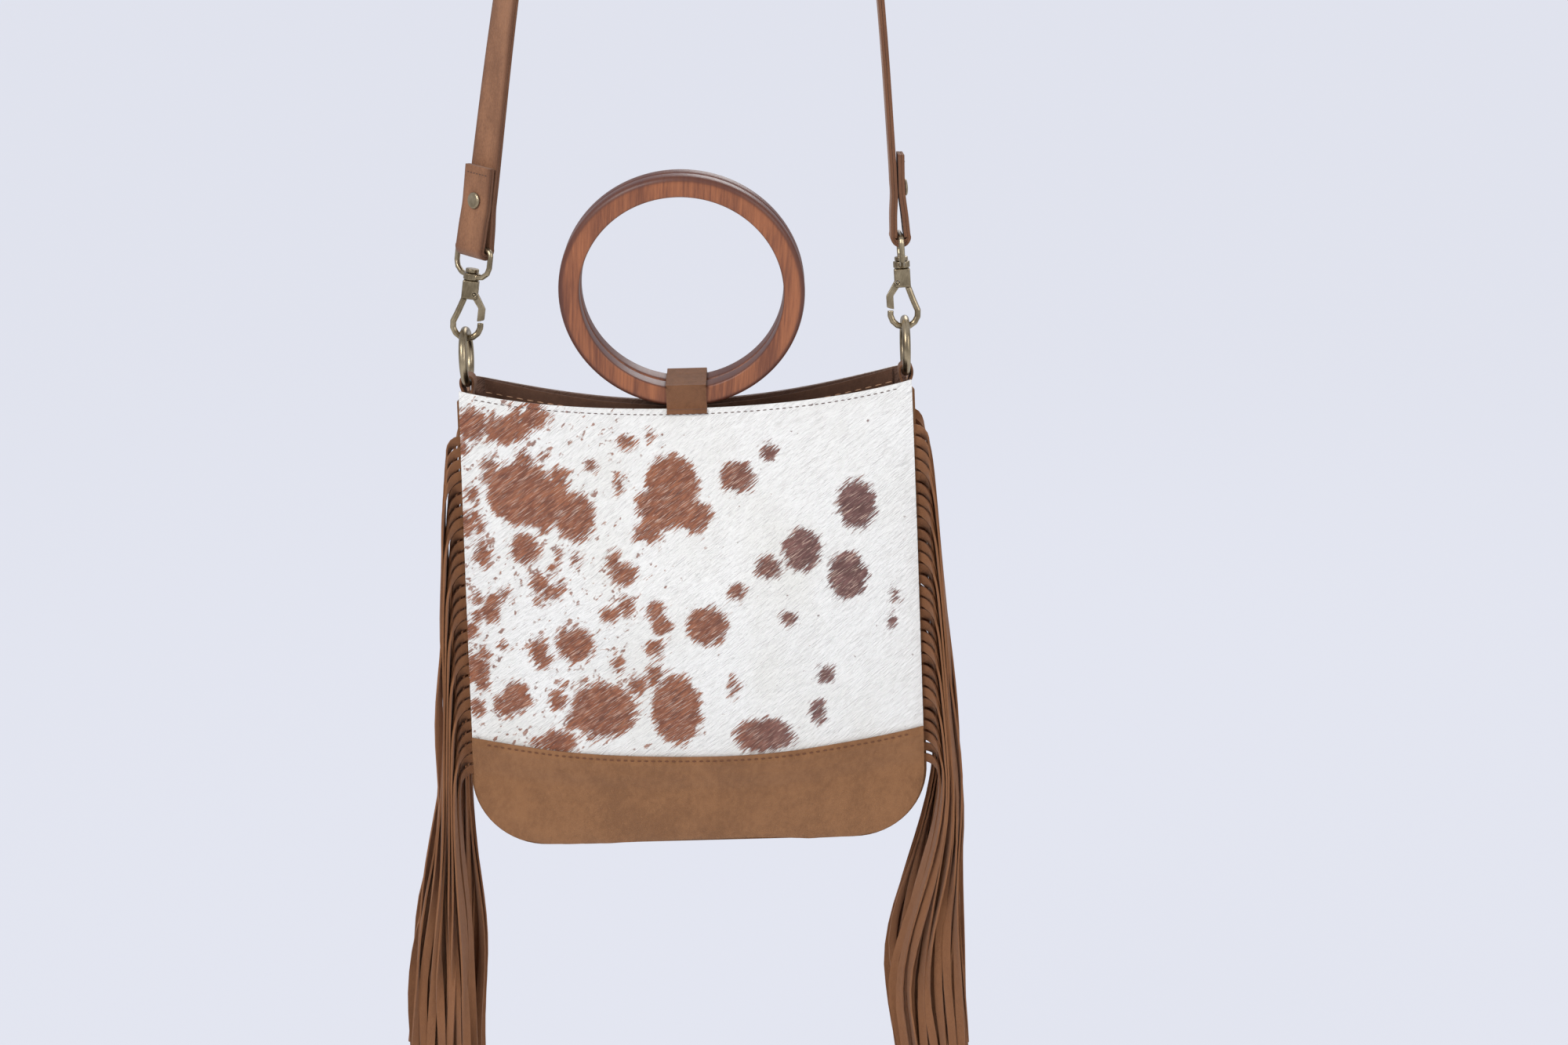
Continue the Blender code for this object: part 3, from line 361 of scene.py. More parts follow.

# %% [markdown]
# ### Strap leather, lining, wood, brass and thread
# The strap is split leather with a short nap and darker edges. The rings are
# straight-grained hardwood under a clear lacquer, with painted shade on the rounded
# rim. The fittings are brass with a brown patina that is worn bright on its high places.

# %% Strap leather and lining
def strap_leather():
    leather = Finish("strap_leather", 0.85, Sheen_Weight=0.15)
    cloud = leather.noise((14 * MM, 14 * MM, 40 * MM), 0, 3)
    grain = leather.noise((1.1 * MM, 1.1 * MM, 2.0 * MM), 0, 4, 0.7)
    tone = (cloud * 0.6 + grain * 0.4).ramp(0.36, 0.64)
    colour = leather.mix(tone, (0.19, 0.078, 0.034, 1), (0.315, 0.140, 0.066, 1))
    colour = leather.mix(leather.attribute("edge") * 0.75, colour, (0.13, 0.050, 0.022, 1))
    leather.show(colour, grain, 0.4 * MM)
    return leather.material


def cotton():
    cloth = Finish("woven_lining", 0.9)
    across = cloth.node("Mapping", {}, {"Vector": cloth.place, "Rotation": (0, 0, 0)})
    yarn = {"Vector": across, "Scale": 330, "Distortion": 0.4}
    warp = cloth.node("TexWave", {"bands_direction": "X"}, yarn)
    weft = cloth.node("TexWave", {"bands_direction": "Z"}, yarn)
    weave = warp * 0.5 + weft * 0.5
    cloud = cloth.noise((30 * MM, 30 * MM, 30 * MM), 0, 3)
    colour = cloth.mix(weave * 0.6 + cloud * 0.4, (0.10, 0.065, 0.042, 1), (0.21, 0.15, 0.10, 1))
    cloth.show(colour, weave, 0.2 * MM)
    return cloth.material


strap_material = strap_leather()
lining_material = cotton()

# %% Wood
def hardwood():
    wood = Finish("lacquered_hardwood", 0.35, Coat_Weight=0.12, Coat_Roughness=0.3)
    board = wood.noise((12 * MM, 40 * MM, 120 * MM), 5, 3)
    streak = wood.noise((1.3 * MM, 20 * MM, 26 * MM), 5, 3, 0.6)
    pore = wood.noise((0.35 * MM, 3 * MM, 6 * MM), 5, 2)
    tone = (board * 0.55 + streak * 0.45).ramp(0.34, 0.66)
    colour = wood.mix(tone, (0.15, 0.042, 0.018, 1), (0.37, 0.125, 0.048, 1))
    colour = wood.mix(pore.ramp(0.36, 0.22) * 0.6, colour, (0.09, 0.028, 0.014, 1))
    # painted shade: the wood is darkened on its rounded outer rim and its inner edge
    rim_shade = wood.attribute("rim_shade")
    colour = wood.mix(rim_shade * 0.85, colour, (0.085, 0.022, 0.012, 1))
    wood.show(colour, pore * 0.6 + streak * 0.5, 0.12 * MM, 0.38 + streak * 0.15)
    return wood.material


wood_material = hardwood()

# %% Brass and thread
def aged_brass():
    brass = Finish("aged_brass", 0.35, Metallic=1.0)
    cloud = brass.noise((11 * MM, 11 * MM, 14 * MM), 0, 3, 0.5)
    scratch = brass.noise((0.5 * MM, 0.5 * MM, 5 * MM), 20, 2)
    tone = (cloud * 0.8 + scratch * 0.2).ramp(0.30, 0.70)
    colour = brass.mix(tone, (0.20, 0.155, 0.095, 1), (0.50, 0.41, 0.27, 1))
    brass.show(colour, cloud * 0.4 + scratch, 0.02 * MM, 0.22 + cloud * 0.22)
    return brass.material


def thread(name, colour):
    cord = Finish(name, 0.8)
    twist = cord.noise((0.3 * MM, 0.3 * MM, 0.9 * MM), 40, 2)
    dark = tuple(c * 0.6 for c in colour) + (1,)
    cord.show(cord.mix(twist, dark, tuple(c * 1.25 for c in colour) + (1,)), twist, 0.1 * MM)
    return cord.material


brass_material = aged_brass()
band_thread = thread("band_thread", (0.16, 0.060, 0.026))
peach_thread = thread("peach_thread", (0.62, 0.36, 0.22))
brown_thread = thread("brown_thread", (0.11, 0.060, 0.045))

# %% [markdown]
# ## Helpers for sewn sheets
# A sewn piece starts as Blender's grid. Each of its corners is moved to its place on
# the bag, and the Solidify and Bevel modifiers give the sheet its thickness and soft
# edges. A cloth simulation isn't needed, because leather this thick keeps its form.

# %% Grid, thickness and finish
def choose(*pieces):
    """Deselects everything, then selects these pieces, the first one active."""
    bpy.ops.object.select_all(action="DESELECT")
    for piece in pieces:
        piece.select_set(True)
    bpy.context.view_layer.objects.active = pieces[0]


def new_sheet(name, columns, rows, place):
    """Adds a grid and moves every corner to place(across -1..1, along 0..1)."""
    bpy.ops.object.select_all(action="DESELECT")
    bpy.ops.mesh.primitive_grid_add(x_subdivisions=columns, y_subdivisions=rows, size=2)
    piece = bpy.context.object
    piece.name = piece.data.name = name
    for corner in piece.data.vertices:
        corner.co = place(corner.co.x, (corner.co.y + 1) / 2)
    return piece


def select_faces(piece, wanted):
    """Enters edit mode with just the faces selected for which wanted(face) is true."""
    choose(piece)
    mesh = piece.data
    for part in (mesh.vertices, mesh.edges, mesh.polygons):
        part.foreach_set("select", [False] * len(part))
    for face in mesh.polygons:
        face.select = wanted(face)
    bpy.context.tool_settings.mesh_select_mode = (False, False, True)
    bpy.ops.object.mode_set(mode="EDIT")


def store(piece, name, values):
    """Keeps one number per vertex for a material to read."""
    layer = piece.data.attributes.new(name, "FLOAT", "POINT")
    layer.data.foreach_set("value", np.array(values, np.float32))


def apply_modifiers(piece):
    choose(piece)
    for modifier in list(piece.modifiers):
        bpy.ops.object.modifier_apply(modifier=modifier.name)


def signed_volume(piece):
    mesh = piece.data
    mesh.calc_loop_triangles()
    total = 0.0
    for triangle in mesh.loop_triangles:
        a, b, c = (mesh.vertices[i].co for i in triangle.vertices)
        total += a.dot(b.cross(c))
    return total / 6


def thicken(piece, thickness, facing=0, soft=0.0):
    """Solidify: towards +y or -y with facing 1 or -1, both ways with 0."""
    if facing:
        tilt = sum(face.normal.y * face.area for face in piece.data.polygons)
        if tilt * facing < 0:
            choose(piece)
            bpy.ops.object.mode_set(mode="EDIT")
            bpy.ops.mesh.select_all(action="SELECT")
            bpy.ops.mesh.flip_normals()
            bpy.ops.object.mode_set(mode="OBJECT")
    solid = piece.modifiers.new("thickness", "SOLIDIFY")
    solid.thickness, solid.offset, solid.use_even_offset = thickness, float(abs(facing)), True
    if soft:
        bevel = piece.modifiers.new("soft_edge", "BEVEL")
        bevel.width, bevel.segments, bevel.angle_limit = soft, 2, math.radians(50)
    apply_modifiers(piece)


def finish_piece(piece, material, body, nodes=(), angle=50):
    """Outward faces, smooth shading, material and the body that it rides on."""
    choose(piece)
    if signed_volume(piece) < 0:
        bpy.ops.object.mode_set(mode="EDIT")
        bpy.ops.mesh.select_all(action="SELECT")
        bpy.ops.mesh.flip_normals()
        bpy.ops.object.mode_set(mode="OBJECT")
    piece.data.materials.clear()
    piece.data.materials.append(material)
    bpy.ops.object.shade_smooth_by_angle(angle=math.radians(angle))
    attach(piece, body)
    if nodes:
        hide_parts(*nodes)
    print(piece.name, len(piece.data.polygons), "faces")
    return piece


# %% [markdown]
# ## Hide panels
# The front and back are one piece of hide each, sewn along the sides. The edge at
# the mouth dips under the handles. The larger spots are given as a list of centres
# and widths in millimetres, and the small specks come from noise.

# %% Spots of the front hide
FRONT_SPOTS = (
    (-104, 233, 24, 24), (-92, 226, 22, 18), (-71, 217, 15, 18), (-80, 241, 7, 8), (-11, 232, 20, 24),
    (-16, 222, 20, 18), (3, 215, 13, 12), (30, 238, 13, 12), (50, 253, 6, 7), (104, 220, 14, 18),
    (97, 176, 15, 18), (69, 193, 14, 16), (48, 183, 10, 9), (28, 169, 7, 7), (9, 148, 16, 15),
    (-19, 149, 8, 8), (-24, 135, 7, 7), (-42, 181, 11, 8), (-74, 137, 14, 14), (-58, 93, 25, 22),
    (-12, 94, 19, 28), (42, 75, 22, 14), (-113, 102, 11, 13), (-137, 120, 10, 12), (-97, 132, 7, 12),
    (-103, 198, 11, 12), (-130, 195, 7, 10), (-111, 272, 18, 10), (-98, 278, 16, 8), (-132, 276, 12, 13),
    (82, 113, 7, 7), (77, 89, 6, 10), (126, 161, 3, 6), (124, 145, 3, 5), (24, 108, 4, 7),
    (-60, 247, 5, 5), (-134, 232, 6, 8), (-122, 244, 7, 8), (-127, 158, 8, 9), (-88, 170, 8, 7),
    (-30, 205, 7, 6), (-52, 156, 6, 6), (60, 152, 6, 6), (-36, 110, 7, 8), (-88, 72, 14, 10),
)


SPOT_GROWTH = 1.7


def marks_field(x, height, spots):
    """Millimetres inside the nearest spot's edge, below zero outside it."""
    best = -12.0
    for cx, cz, wide, high in spots:
        across, up = (x / MM - cx) / (wide * SPOT_GROWTH / 2), (height / MM - cz) / (high * SPOT_GROWTH / 2)
        best = max(best, (1 - math.hypot(across, up)) * min(wide, high) * SPOT_GROWTH / 2)
    return best


def seeded_spots(seed, count):
    chance = random.Random(seed)
    spots = []
    for _ in range(count):
        wide = chance.choice((8, 10, 12, 16, 20, 26))
        x, height = chance.uniform(-140, 140), chance.uniform(62, 285)
        spots.append((x, height, wide, wide * chance.uniform(0.8, 1.4)))
    return spots


def freckles(seed, count):
    """Small spots, denser towards the left."""
    chance = random.Random(seed)
    spots = []
    for _ in range(count):
        wide = chance.choice((3, 4, 4, 5, 6, 7))
        x = -142 + 125 * chance.random() ** 1.3
        spots.append((x, chance.uniform(66, 285), wide, wide * chance.uniform(0.9, 1.6)))
    return tuple(spots)


FRONT_SPOTS += freckles(19, 62)
BACK_SPOTS = seeded_spots(7, 42)
print(len(FRONT_SPOTS), "spots in front,", len(BACK_SPOTS), "behind")

# %% Shape the two hides
def hide_panel(name, facing, spots):
    def place(u, along):
        across = spread(u)
        low = band_height(across) - 9 * MM
        height = low + (mouth_height(across) - low) * along
        at_seam = smooth_step((abs(across) - 0.94) / 0.05)
        pucker = 0.35 * MM * math.sin(height / (7.4 * MM) * math.tau) * at_seam
        return panel_point(across, height, pucker, facing)

    panel = new_sheet(name, 120, 100, place)
    places = [((v.co.x - BAG_X) * -facing, v.co.z - BASE_Z) for v in panel.data.vertices]
    store(panel, "marks", [marks_field(x, h, spots) for x, h in places])
    store(panel, "specks", [smooth_step((20 * MM - x) / (90 * MM)) for x, h in places])
    store(panel, "darkness", [smooth_step((x + 10 * MM) / (90 * MM)) for x, h in places])
    thicken(panel, 2.2 * MM, facing, 0.5 * MM)
    return finish_piece(panel, hide_material, "bag", [name.replace("hide_", "") + "_panel"])


for word, facing, spots in (("front", -1, FRONT_SPOTS), ("back", 1, BACK_SPOTS)):
    hide_panel("hide_" + word, facing, spots)

# %% [markdown]
# ## Base band
# A suede band covers the base. Its upper edge is folded in and sewn over the hide,
# so it stands proud there, and it is drawn down to the panel below the hide's edge.
# In front its lower seam rises a little towards the middle.

# %% Shape the band
def base_band(name, facing):
    def place(u, along):
        across = spread(u)
        top = band_height(across)
        height = top * along ** 0.8 if along < 0.5 else top * (1 - (1 - 0.5 ** 0.8) * (2 - 2 * along))
        drop = top - height
        if facing < 0:
            lift = 2.2 * MM * smooth_step((across + 0.8) / 0.9) * (1 - smooth_step((across - 0.3) / 0.4))
            height += lift * (1 - along) ** 3
        lap = 2.5 * MM * smooth_step((26 * MM - drop) / (17 * MM))
        rounded = 0.35 * MM * smooth_step((2 * MM - drop) / (2 * MM))
        fold = 0.9 * MM * smooth_step((11 * MM - drop) / (7 * MM)) - rounded
        stitch_dip = -0.4 * MM * math.exp(-((drop - 2.6 * MM) / (1.0 * MM)) ** 2)
        loose = smooth_step(drop / (20 * MM)) * (1 - across ** 2)
        wrinkle = 0.4 * MM * math.sin(across * 21 + height * 60) * loose
        return panel_point(across, height, max(lap + fold + stitch_dip, 0) + max(wrinkle, 0), facing)

    band = new_sheet(name, 130, 46, place)
    thicken(band, 1.6 * MM, facing, 0.5 * MM)
    return finish_piece(band, band_suede, "bag", [name.replace("band_", "") + "_base"])


for word, facing in (("front", -1), ("back", 1)):
    base_band("band_" + word, facing)

# %% [markdown]
# ## Gusset
# One strip of suede joins front and back. It folds inwards at the mouth and hangs
# below the seams under the bag, so the same strip is pushed in or out along its way.

# %% Shape the gusset
def seam_outline():
    side = [(half_width(h), h) for h in np.linspace(HEIGHT - 7 * MM, CORNER * 1.03, 34)]
    for angle in np.linspace(86, 0, 16):
        height = CORNER * (1 - math.cos(math.radians(angle)))
        side.append((half_width(height), height))
    reach = side[-1][0]
    bottom = [(x, 0.0) for x in np.linspace(-reach, reach, 42)[1:-1]]
    return [(-x, h) for x, h in side] + bottom + side[::-1]


def gusset_piece():
    outline = [Vector((x, 0, h)) for x, h in seam_outline()]
    last = len(outline) - 1
    outward = []
    for index, point in enumerate(outline):
        along = outline[min(index + 1, last)] - outline[max(index - 1, 0)]
        away = along.normalized().cross(Vector((0, 1, 0)))
        outward.append(away if away.dot(point - Vector((0, 0, HEIGHT / 2))) > 0 else -away)

    def place(u, along):
        index = round(along * last)
        height = outline[index].z
        under = 1 - smooth_step(height / CORNER)
        above = smooth_step((height / HEIGHT - 0.5) / 0.5)
        offset = 6 * MM * under - 1 * MM * (0.3 + 0.7 * above) * (1 - under)
        hollow = 1 - smooth_step((abs(u) - 0.5) / 0.36)
        ripple = 0.5 * MM * math.sin(outline[index].x * 95) * under
        ripple += 0.3 * MM * math.sin(height * 130) * (1 - under)
        spot = outline[index] + outward[index] * (offset * hollow + ripple * hollow)
        return Vector((BAG_X + spot.x, u * (half_depth(height) - 2.2 * MM), BASE_Z + spot.z))

    strip = new_sheet("side_and_base_gusset", 16, last, place)
    inner = min(strip.data.polygons, key=lambda face: face.center.z)
    turned = inner.normal.z > 0
    solid = strip.modifiers.new("thickness", "SOLIDIFY")
    solid.thickness, solid.offset = 2.0 * MM, -1.0 if turned else 1.0
    apply_modifiers(strip)
    return finish_piece(strip, band_suede, "bag", ["gusset"])


gusset_piece()

# %% [markdown]
# ## Facings and lining
# A darker suede facing is sewn inside the mouth, and a thin woven bag hangs from it.

# %% Shape the facings and the lining
FACING_INSET = 9 * MM            # between the facing's ends and the seams
TAIL_HALF_WIDTH = 14.7 * MM      # of the handle tab's tail, with its room


def facing_depth(x):
    """How far the facing's outer face stays inside the hide, more over the tabs' tails."""
    over_tail = 1 - smooth_step((abs(x) - TAIL_HALF_WIDTH) / (14 * MM))
    return 0.8 * MM + (1.6 + 1.6 * 0.8) * MM * over_tail


def facing_strip(name, facing):
    def place(u, along):
        top = mouth_height(u) - 2.5 * MM
        height = top - 34 * MM * (1 - along)
        inward = facing_depth(u * (half_width(height) - FACING_INSET))
        return panel_point(u, height, -inward, facing, FACING_INSET)

    strip = new_sheet(name, 90, 12, place)
    thicken(strip, 1.2 * MM, -facing, 0.3 * MM)
    return finish_piece(strip, facing_suede, "bag", [name.replace("facing_", "") + "_facing"])


def inner_bag():
    top = HEIGHT - 17.5 * MM - 37 * MM

    def place(u, along):
        turn = u * 2                         # -2..0 is the front, 0..2 the back
        facing = -1 if turn < 0 else 1
        across = (turn + 1) if turn < 0 else (1 - turn)
        height = 3.4 * MM + (top - 3.4 * MM) * along ** 1.2
        loose = (1 - across ** 2) * smooth_step(height / (50 * MM))
        fold = 0.7 * MM * math.sin(across * 17 + facing) * loose
        return panel_point(spread(across), height, -0.8 * MM - abs(fold), facing, 9.5 * MM)

    bag = new_sheet("woven_lining", 120, 40, place)
    choose(bag)
    bpy.ops.object.mode_set(mode="EDIT")
    bpy.ops.mesh.select_all(action="SELECT")
    bpy.ops.mesh.remove_doubles(threshold=0.00002)
    bpy.ops.mesh.select_all(action="DESELECT")
    bpy.ops.object.mode_set(mode="OBJECT")
    for edge in bag.data.edges:
        low = all(bag.data.vertices[i].co.z < BASE_Z + 3.6 * MM for i in edge.vertices)
        edge.select = low
    bpy.ops.object.mode_set(mode="EDIT")
    bpy.ops.mesh.select_mode(type="EDGE")
    bpy.ops.mesh.edge_face_add()
    bpy.ops.mesh.select_all(action="SELECT")
    bpy.ops.mesh.normals_make_consistent(inside=False)
    bpy.ops.mesh.select_mode(type="VERT")
    bpy.ops.object.mode_set(mode="OBJECT")
    solid = bag.modifiers.new("thickness", "SOLIDIFY")
    solid.thickness, solid.offset = 1.0 * MM, -1.0
    apply_modifiers(bag)
    return finish_piece(bag, lining_material, "bag", ["lining"])


for word, facing in (("front", -1), ("back", 1)):
    facing_strip("facing_" + word, facing)
inner_bag()

# %% [markdown]
# ## Fringes
# A fringe is one strip of suede, cut into strands up to the edge that is caught in
# the side seam. It is made the same way here: the strip is a grid, the faces between
# the strands are selected and deleted, and each strand then leaves the seam sideways,
# arches over and hangs down. Seeded chance gives every strand its own wave and twist.

# %% The way of a hanging strand
STRANDS = 30
PITCH, STRAND_WIDTH = 7.4 * MM, 5.4 * MM
LENGTHS = [-7, 0, 1.5, 3.5, 6, 9, 12, 16, 21, 27, 35, 45] + [45 + 15 * k for k in range(1, 26)]
steps = np.arange(0, 0.4301, 0.001)
fall = np.radians(85.8) * (1 - np.exp(-steps / 0.008))
out_way = np.concatenate([[0], np.cumsum(np.cos(fall[:-1]) * 0.001)])
down_way = np.concatenate([[0], np.cumsum(np.sin(fall[:-1]) * 0.001)])
COMB_TOP = 266 * MM
COMB_LOW = COMB_TOP - (STRANDS - 1) * PITCH
print("a strand hangs", round(float(np.interp(0.42, steps, out_way)), 3), "m out of the seam at its tip")


DRIFTS = {-1: (19, -12), 1: (-10, -44)}


def strand_point(index, side, share, length, wander):
    """Outward, towards-the-face and height of a point on a strand."""
    root = COMB_TOP - index * PITCH
    if length <= 0:
        return root, length, 0.0, root + share * STRAND_WIDTH / 2
    out, down, slope = (float(np.interp(length, steps, way)) for way in (out_way, down_way, fall))
    height = root - down
    rank = index / (STRANDS - 1)
    below = smooth_step((COMB_LOW - height) / (180 * MM))
    top_drift, low_drift = DRIFTS[side]
    drift = (top_drift * (1 - rank) + low_drift * rank) * MM
    free = smooth_step((length - 15 * MM) / (200 * MM))
    turn = math.radians(90 * smooth_step(length / (18 * MM)) - 72 * below)
    turn += wander["twist"] * free * math.sin(length * wander["turns"] + wander["start"])
    wave_out = wander["wave"] * free * math.sin(length * wander["pace"] + wander["start"])
    wave_face = wander["swing"] * free * math.sin(length * wander["pace"] * 0.7 + wander["turns"])
    row = (index % 4 - 1.5) * 6 * MM * smooth_step(length / (26 * MM))
    width = share * STRAND_WIDTH / 2
    curl = 0.5 * MM * (1 - share ** 2) * free
    x = out + drift * below + wave_out + width * math.cos(turn) * math.sin(slope) + curl
    y = row + wave_face + width * math.sin(turn)
    return root, x, y, height + width * math.cos(turn) * math.cos(slope)


# %% Cut and hang the four fringes
def fringe(name, side, facing, seed):
    chance = random.Random(seed)
    wanders = []
    for _ in range(STRANDS):
        wanders.append({
            "twist": chance.uniform(0.3, 1.1),
            "turns": chance.uniform(14, 34),
            "start": chance.uniform(0, 6.28),
            "wave": chance.uniform(0.5, 2.6) * MM,
            "pace": chance.uniform(22, 52),
            "swing": chance.uniform(0.5, 3.0) * MM,
        })
    columns, rows = STRANDS * 3 - 1, len(LENGTHS) - 1
    strip = new_sheet(name, columns, rows, lambda u, along: Vector((u, along, 0)))
    select_faces(strip, lambda face: (
        math.floor((face.center.x + 1) / 2 * columns) % 3 == 2 and math.floor(face.center.y * rows) >= 1
    ))
    bpy.ops.mesh.delete(type="FACE")
    bpy.ops.object.mode_set(mode="OBJECT")
    tones = []
    shades = [chance.uniform(0.15, 0.95) for _ in range(STRANDS)]
    for corner in strip.data.vertices:
        column = round((corner.co.x + 1) / 2 * columns)
        row = round(corner.co.y * rows)
        index, share = column // 3, 1 - column % 3
        root, x, y, height = strand_point(index, side, share, LENGTHS[row] * MM, wanders[index])
        seam_y = half_depth(root) - 0.3 * MM - 0.6 * MM
        corner.co = (BAG_X + side * (half_width(root) + x), facing * (seam_y + y), BASE_Z + height)
        tones.append(shades[index] - (0.25 if share == 0 else 0.0))
    store(strip, "tone", tones)
    thicken(strip, 1.2 * MM)
    finish_piece(strip, fringe_suede, "bag", [name.replace("hanging_", "")], 60)
    return strip


for word, side in (("left", -1), ("right", 1)):
    for face_word, facing in (("front", -1), ("back", 1)):
        fringe(f"hanging_fringe_{face_word}_{word}", side, facing, 40 + side + 3 * facing)

# %% [markdown]
# ## Wooden rings
# Each handle is a ring of hardwood. It starts as a torus, whose round section is pressed
# square inside and left rounder outside, and it is turned to lean over the mouth.

# %% Turn the two rings
def wooden_ring(name, centre, lean, node, body):
    bpy.ops.object.select_all(action="DESELECT")
    bpy.ops.mesh.primitive_torus_add(
        major_segments=144, minor_segments=40, major_radius=68.5 * MM, minor_radius=1 * MM)
    ring = bpy.context.object
    ring.name = ring.data.name = name
    rim_shades = []
    for vertex in ring.data.vertices:
        around = Vector((vertex.co.x, vertex.co.y, 0))
        out, up = (around.length - 68.5 * MM) / MM, vertex.co.z / MM
        power = 0.62 if out > 0 else 0.30
        radius = (68.5 + 6.5 * math.copysign(abs(out) ** power, out)) * MM
        height = 5.5 * MM * math.copysign(abs(up) ** power, up)
        vertex.co = around.normalized() * radius + Vector((0, 0, height))
        # painted shade: the rounded outer rim and the innermost edge are marked for the wood to darken
        outer = smooth_step((radius - 71.2 * MM) / (1.8 * MM))
        rim_shades.append(max(outer, 1 - smooth_step((radius - 62 * MM) / (1.0 * MM))))
    store(ring, "rim_shade", rim_shades)
    ring.rotation_euler = (math.radians(90 + lean), 0, 0)
    ring.location = centre
    choose(ring)
    bpy.ops.object.transform_apply(location=True, rotation=True, scale=True)
    return finish_piece(ring, wood_material, body, [node], 35)


wooden_ring("wooden_ring_front", (BAG_X, -0.02467, -0.60072), 13.0, "handle_ring_front", "front_handle")
wooden_ring("wooden_ring_back", (BAG_X, -0.01098, -0.59919), 14.5, "handle_ring_back", "back_handle")

# %% [markdown]
# ## Straps and tabs
# A flat strip follows a path with a width axis at each point. Points between the
# given ones come from a Catmull-Rom curve, which passes through all of them, so the
# strip keeps to the rigid model's way but bends without corners.

# %% Sweep a flat strip
def refine(points, parts=6):
    rows = [np.array(p, float) for p in points]
    fine = []
    for i in range(len(rows) - 1):
        a, b, c, d = rows[max(i - 1, 0)], rows[i], rows[i + 1], rows[min(i + 2, len(rows) - 1)]
        for k in range(parts):
            t = k / parts
            fine.append(0.5 * (2 * b + (c - a) * t + (2 * a - 5 * b + 4 * c - d) * t * t
                               + (3 * b - a - 3 * c + d) * t ** 3))
    return fine + [rows[-1]]


def strip_along(name, stations, width, thickness, lift, material, nodes, parts=6):
    """A strip whose stations are x, y, z and the width axis; lift moves it off the path."""
    fine = refine(stations, parts)
    places = [Vector(row[:3]) for row in fine]
    sides = [Vector(row[3:6]).normalized() for row in fine]
    last, columns = len(fine) - 1, 8

    def place(u, along):
        index = round(along * last)
        ahead = places[min(index + 1, last)] - places[max(index - 1, 0)]
        up = ahead.normalized().cross(sides[index]).normalized()
        return places[index] + sides[index] * (u * width / 2) + up * lift

    strip = new_sheet(name, columns, last, place)
    shares = [i % (columns + 1) / columns * 2 - 1 for i in range(len(strip.data.vertices))]
    edges = [max(0.0, (abs(share) - 0.7) / 0.3) for share in shares]
    store(strip, "edge", edges)
    thicken(strip, thickness, 0, 0.4 * MM)
    return finish_piece(strip, material, "bag", nodes, 40)


# %% The strap, its two layers
STRAP_LAYER = 1.9 * MM
STRAP_LEFT_END = (
    (-121.1, -2.3, -523.7), (-123.6, -1.8, -540.5), (-124.9, -1.8, -548.4), (-127.5, -2.6, -560.1),
    (-129.7, -3.0, -571.1), (-130.4, -3.3, -573.6), (-129.9, -2.1, -576.3), (-128.3, 0, -577.6),
    (-126.3, 2.1, -576.9), (-124.9, 3.3, -574.5), (-124.7, 3.0, -571.9), (-123.2, 2.6, -560.8),
    (-121.9, 1.8, -548.9), (-120.6, 1.8, -541.0), (-117.8, 1.8, -524.2),
)
STRAP_LEFT_RISE = (
    (-105.6, 1.7, -455.4, .671, -.733, -.112), (-92.2, 1.4, -386.7, .576, -.812, -.096),
    (-77.9, 1.1, -318.2, .472, -.878, -.079), (-63.2, .7, -249.8, .360, -.931, -.060),
    (-48.4, .4, -181.4, .243, -.969, -.041), (-33.8, .1, -113.0, .123, -.992, -.021),
)
STRAP_REST = (
    (-19.7, -44.5), (-12.9, -24.9), (.6, -9.3), (17.3, -.5), (34.0, 2.2), (50.7, -.5), (67.4, -9.3),
    (80.9, -24.9), (87.7, -44.5), (93.7, -112.8), (100.4, -181.1), (107.5, -249.3), (114.4, -317.6),
    (120.8, -385.9), (126.1, -454.2), (130.0, -522.7), (130.7, -539.7), (131.1, -547.7), (130.5, -559.7),
    (130.5, -570.9), (130.3, -573.5), (131.9, -576.0), (134.7, -576.9), (137.4, -575.8), (138.8, -573.1),
    (138.4, -570.5), (137.3, -559.4), (135.8, -547.5), (135.4, -539.5), (135.3, -522.5),
)
stations = [(*p, .756, -.643, -.126) for p in STRAP_LEFT_END] + list(STRAP_LEFT_RISE)
stations += [(x, 0, z, 0, -1, 0) for x, z in STRAP_REST]
stations = [((x - 34) * MM, y * MM, z * MM, a, b, c) for x, y, z, a, b, c in stations]
STRAP_WIDTH = 22 * MM
for name, way, nodes in (("strap_face", 1, ["strap"]), ("strap_lining", -1, [])):
    lift = way * (STRAP_LAYER / 2 + 0.05 * MM)
    strip_along(name, stations, STRAP_WIDTH, STRAP_LAYER, lift, strap_material, nodes, 4)

# %% Handle tabs and ring loops
TAB_PATHS = {
    "front": ((-14.3, -687.5), (-12.6, -681.5), (-11.0, -675.5), (-4.1, -674.4),
              (-1.6, -671.2), (-4.5, -658.4), (-6.0, -657.5), (-16.6, -660.0), (-17.5, -661.4), (-14.5, -674.2), (-16.8, -676.1), (-17.1, -678.0)),
    "back": ((14.3, -687.5), (12.6, -681.5), (11.0, -675.5), (4.8, -674.1),
             (1.1, -672.4), (-2.2, -659.7), (-1.3, -658.2), (9.2, -655.5), (10.7, -656.4), (14.0, -669.0), (16.8, -676.1), (17.1, -678.0)),
}
for word, path in TAB_PATHS.items():
    rows = [(BAG_X, y * MM, z * MM, 1, 0, 0) for y, z in path]
    nodes = ["handle_tab_" + word]
    strip_along("suede_tab_" + word, rows, 25 * MM, 1.5 * MM, 0, tab_suede, nodes, 3)

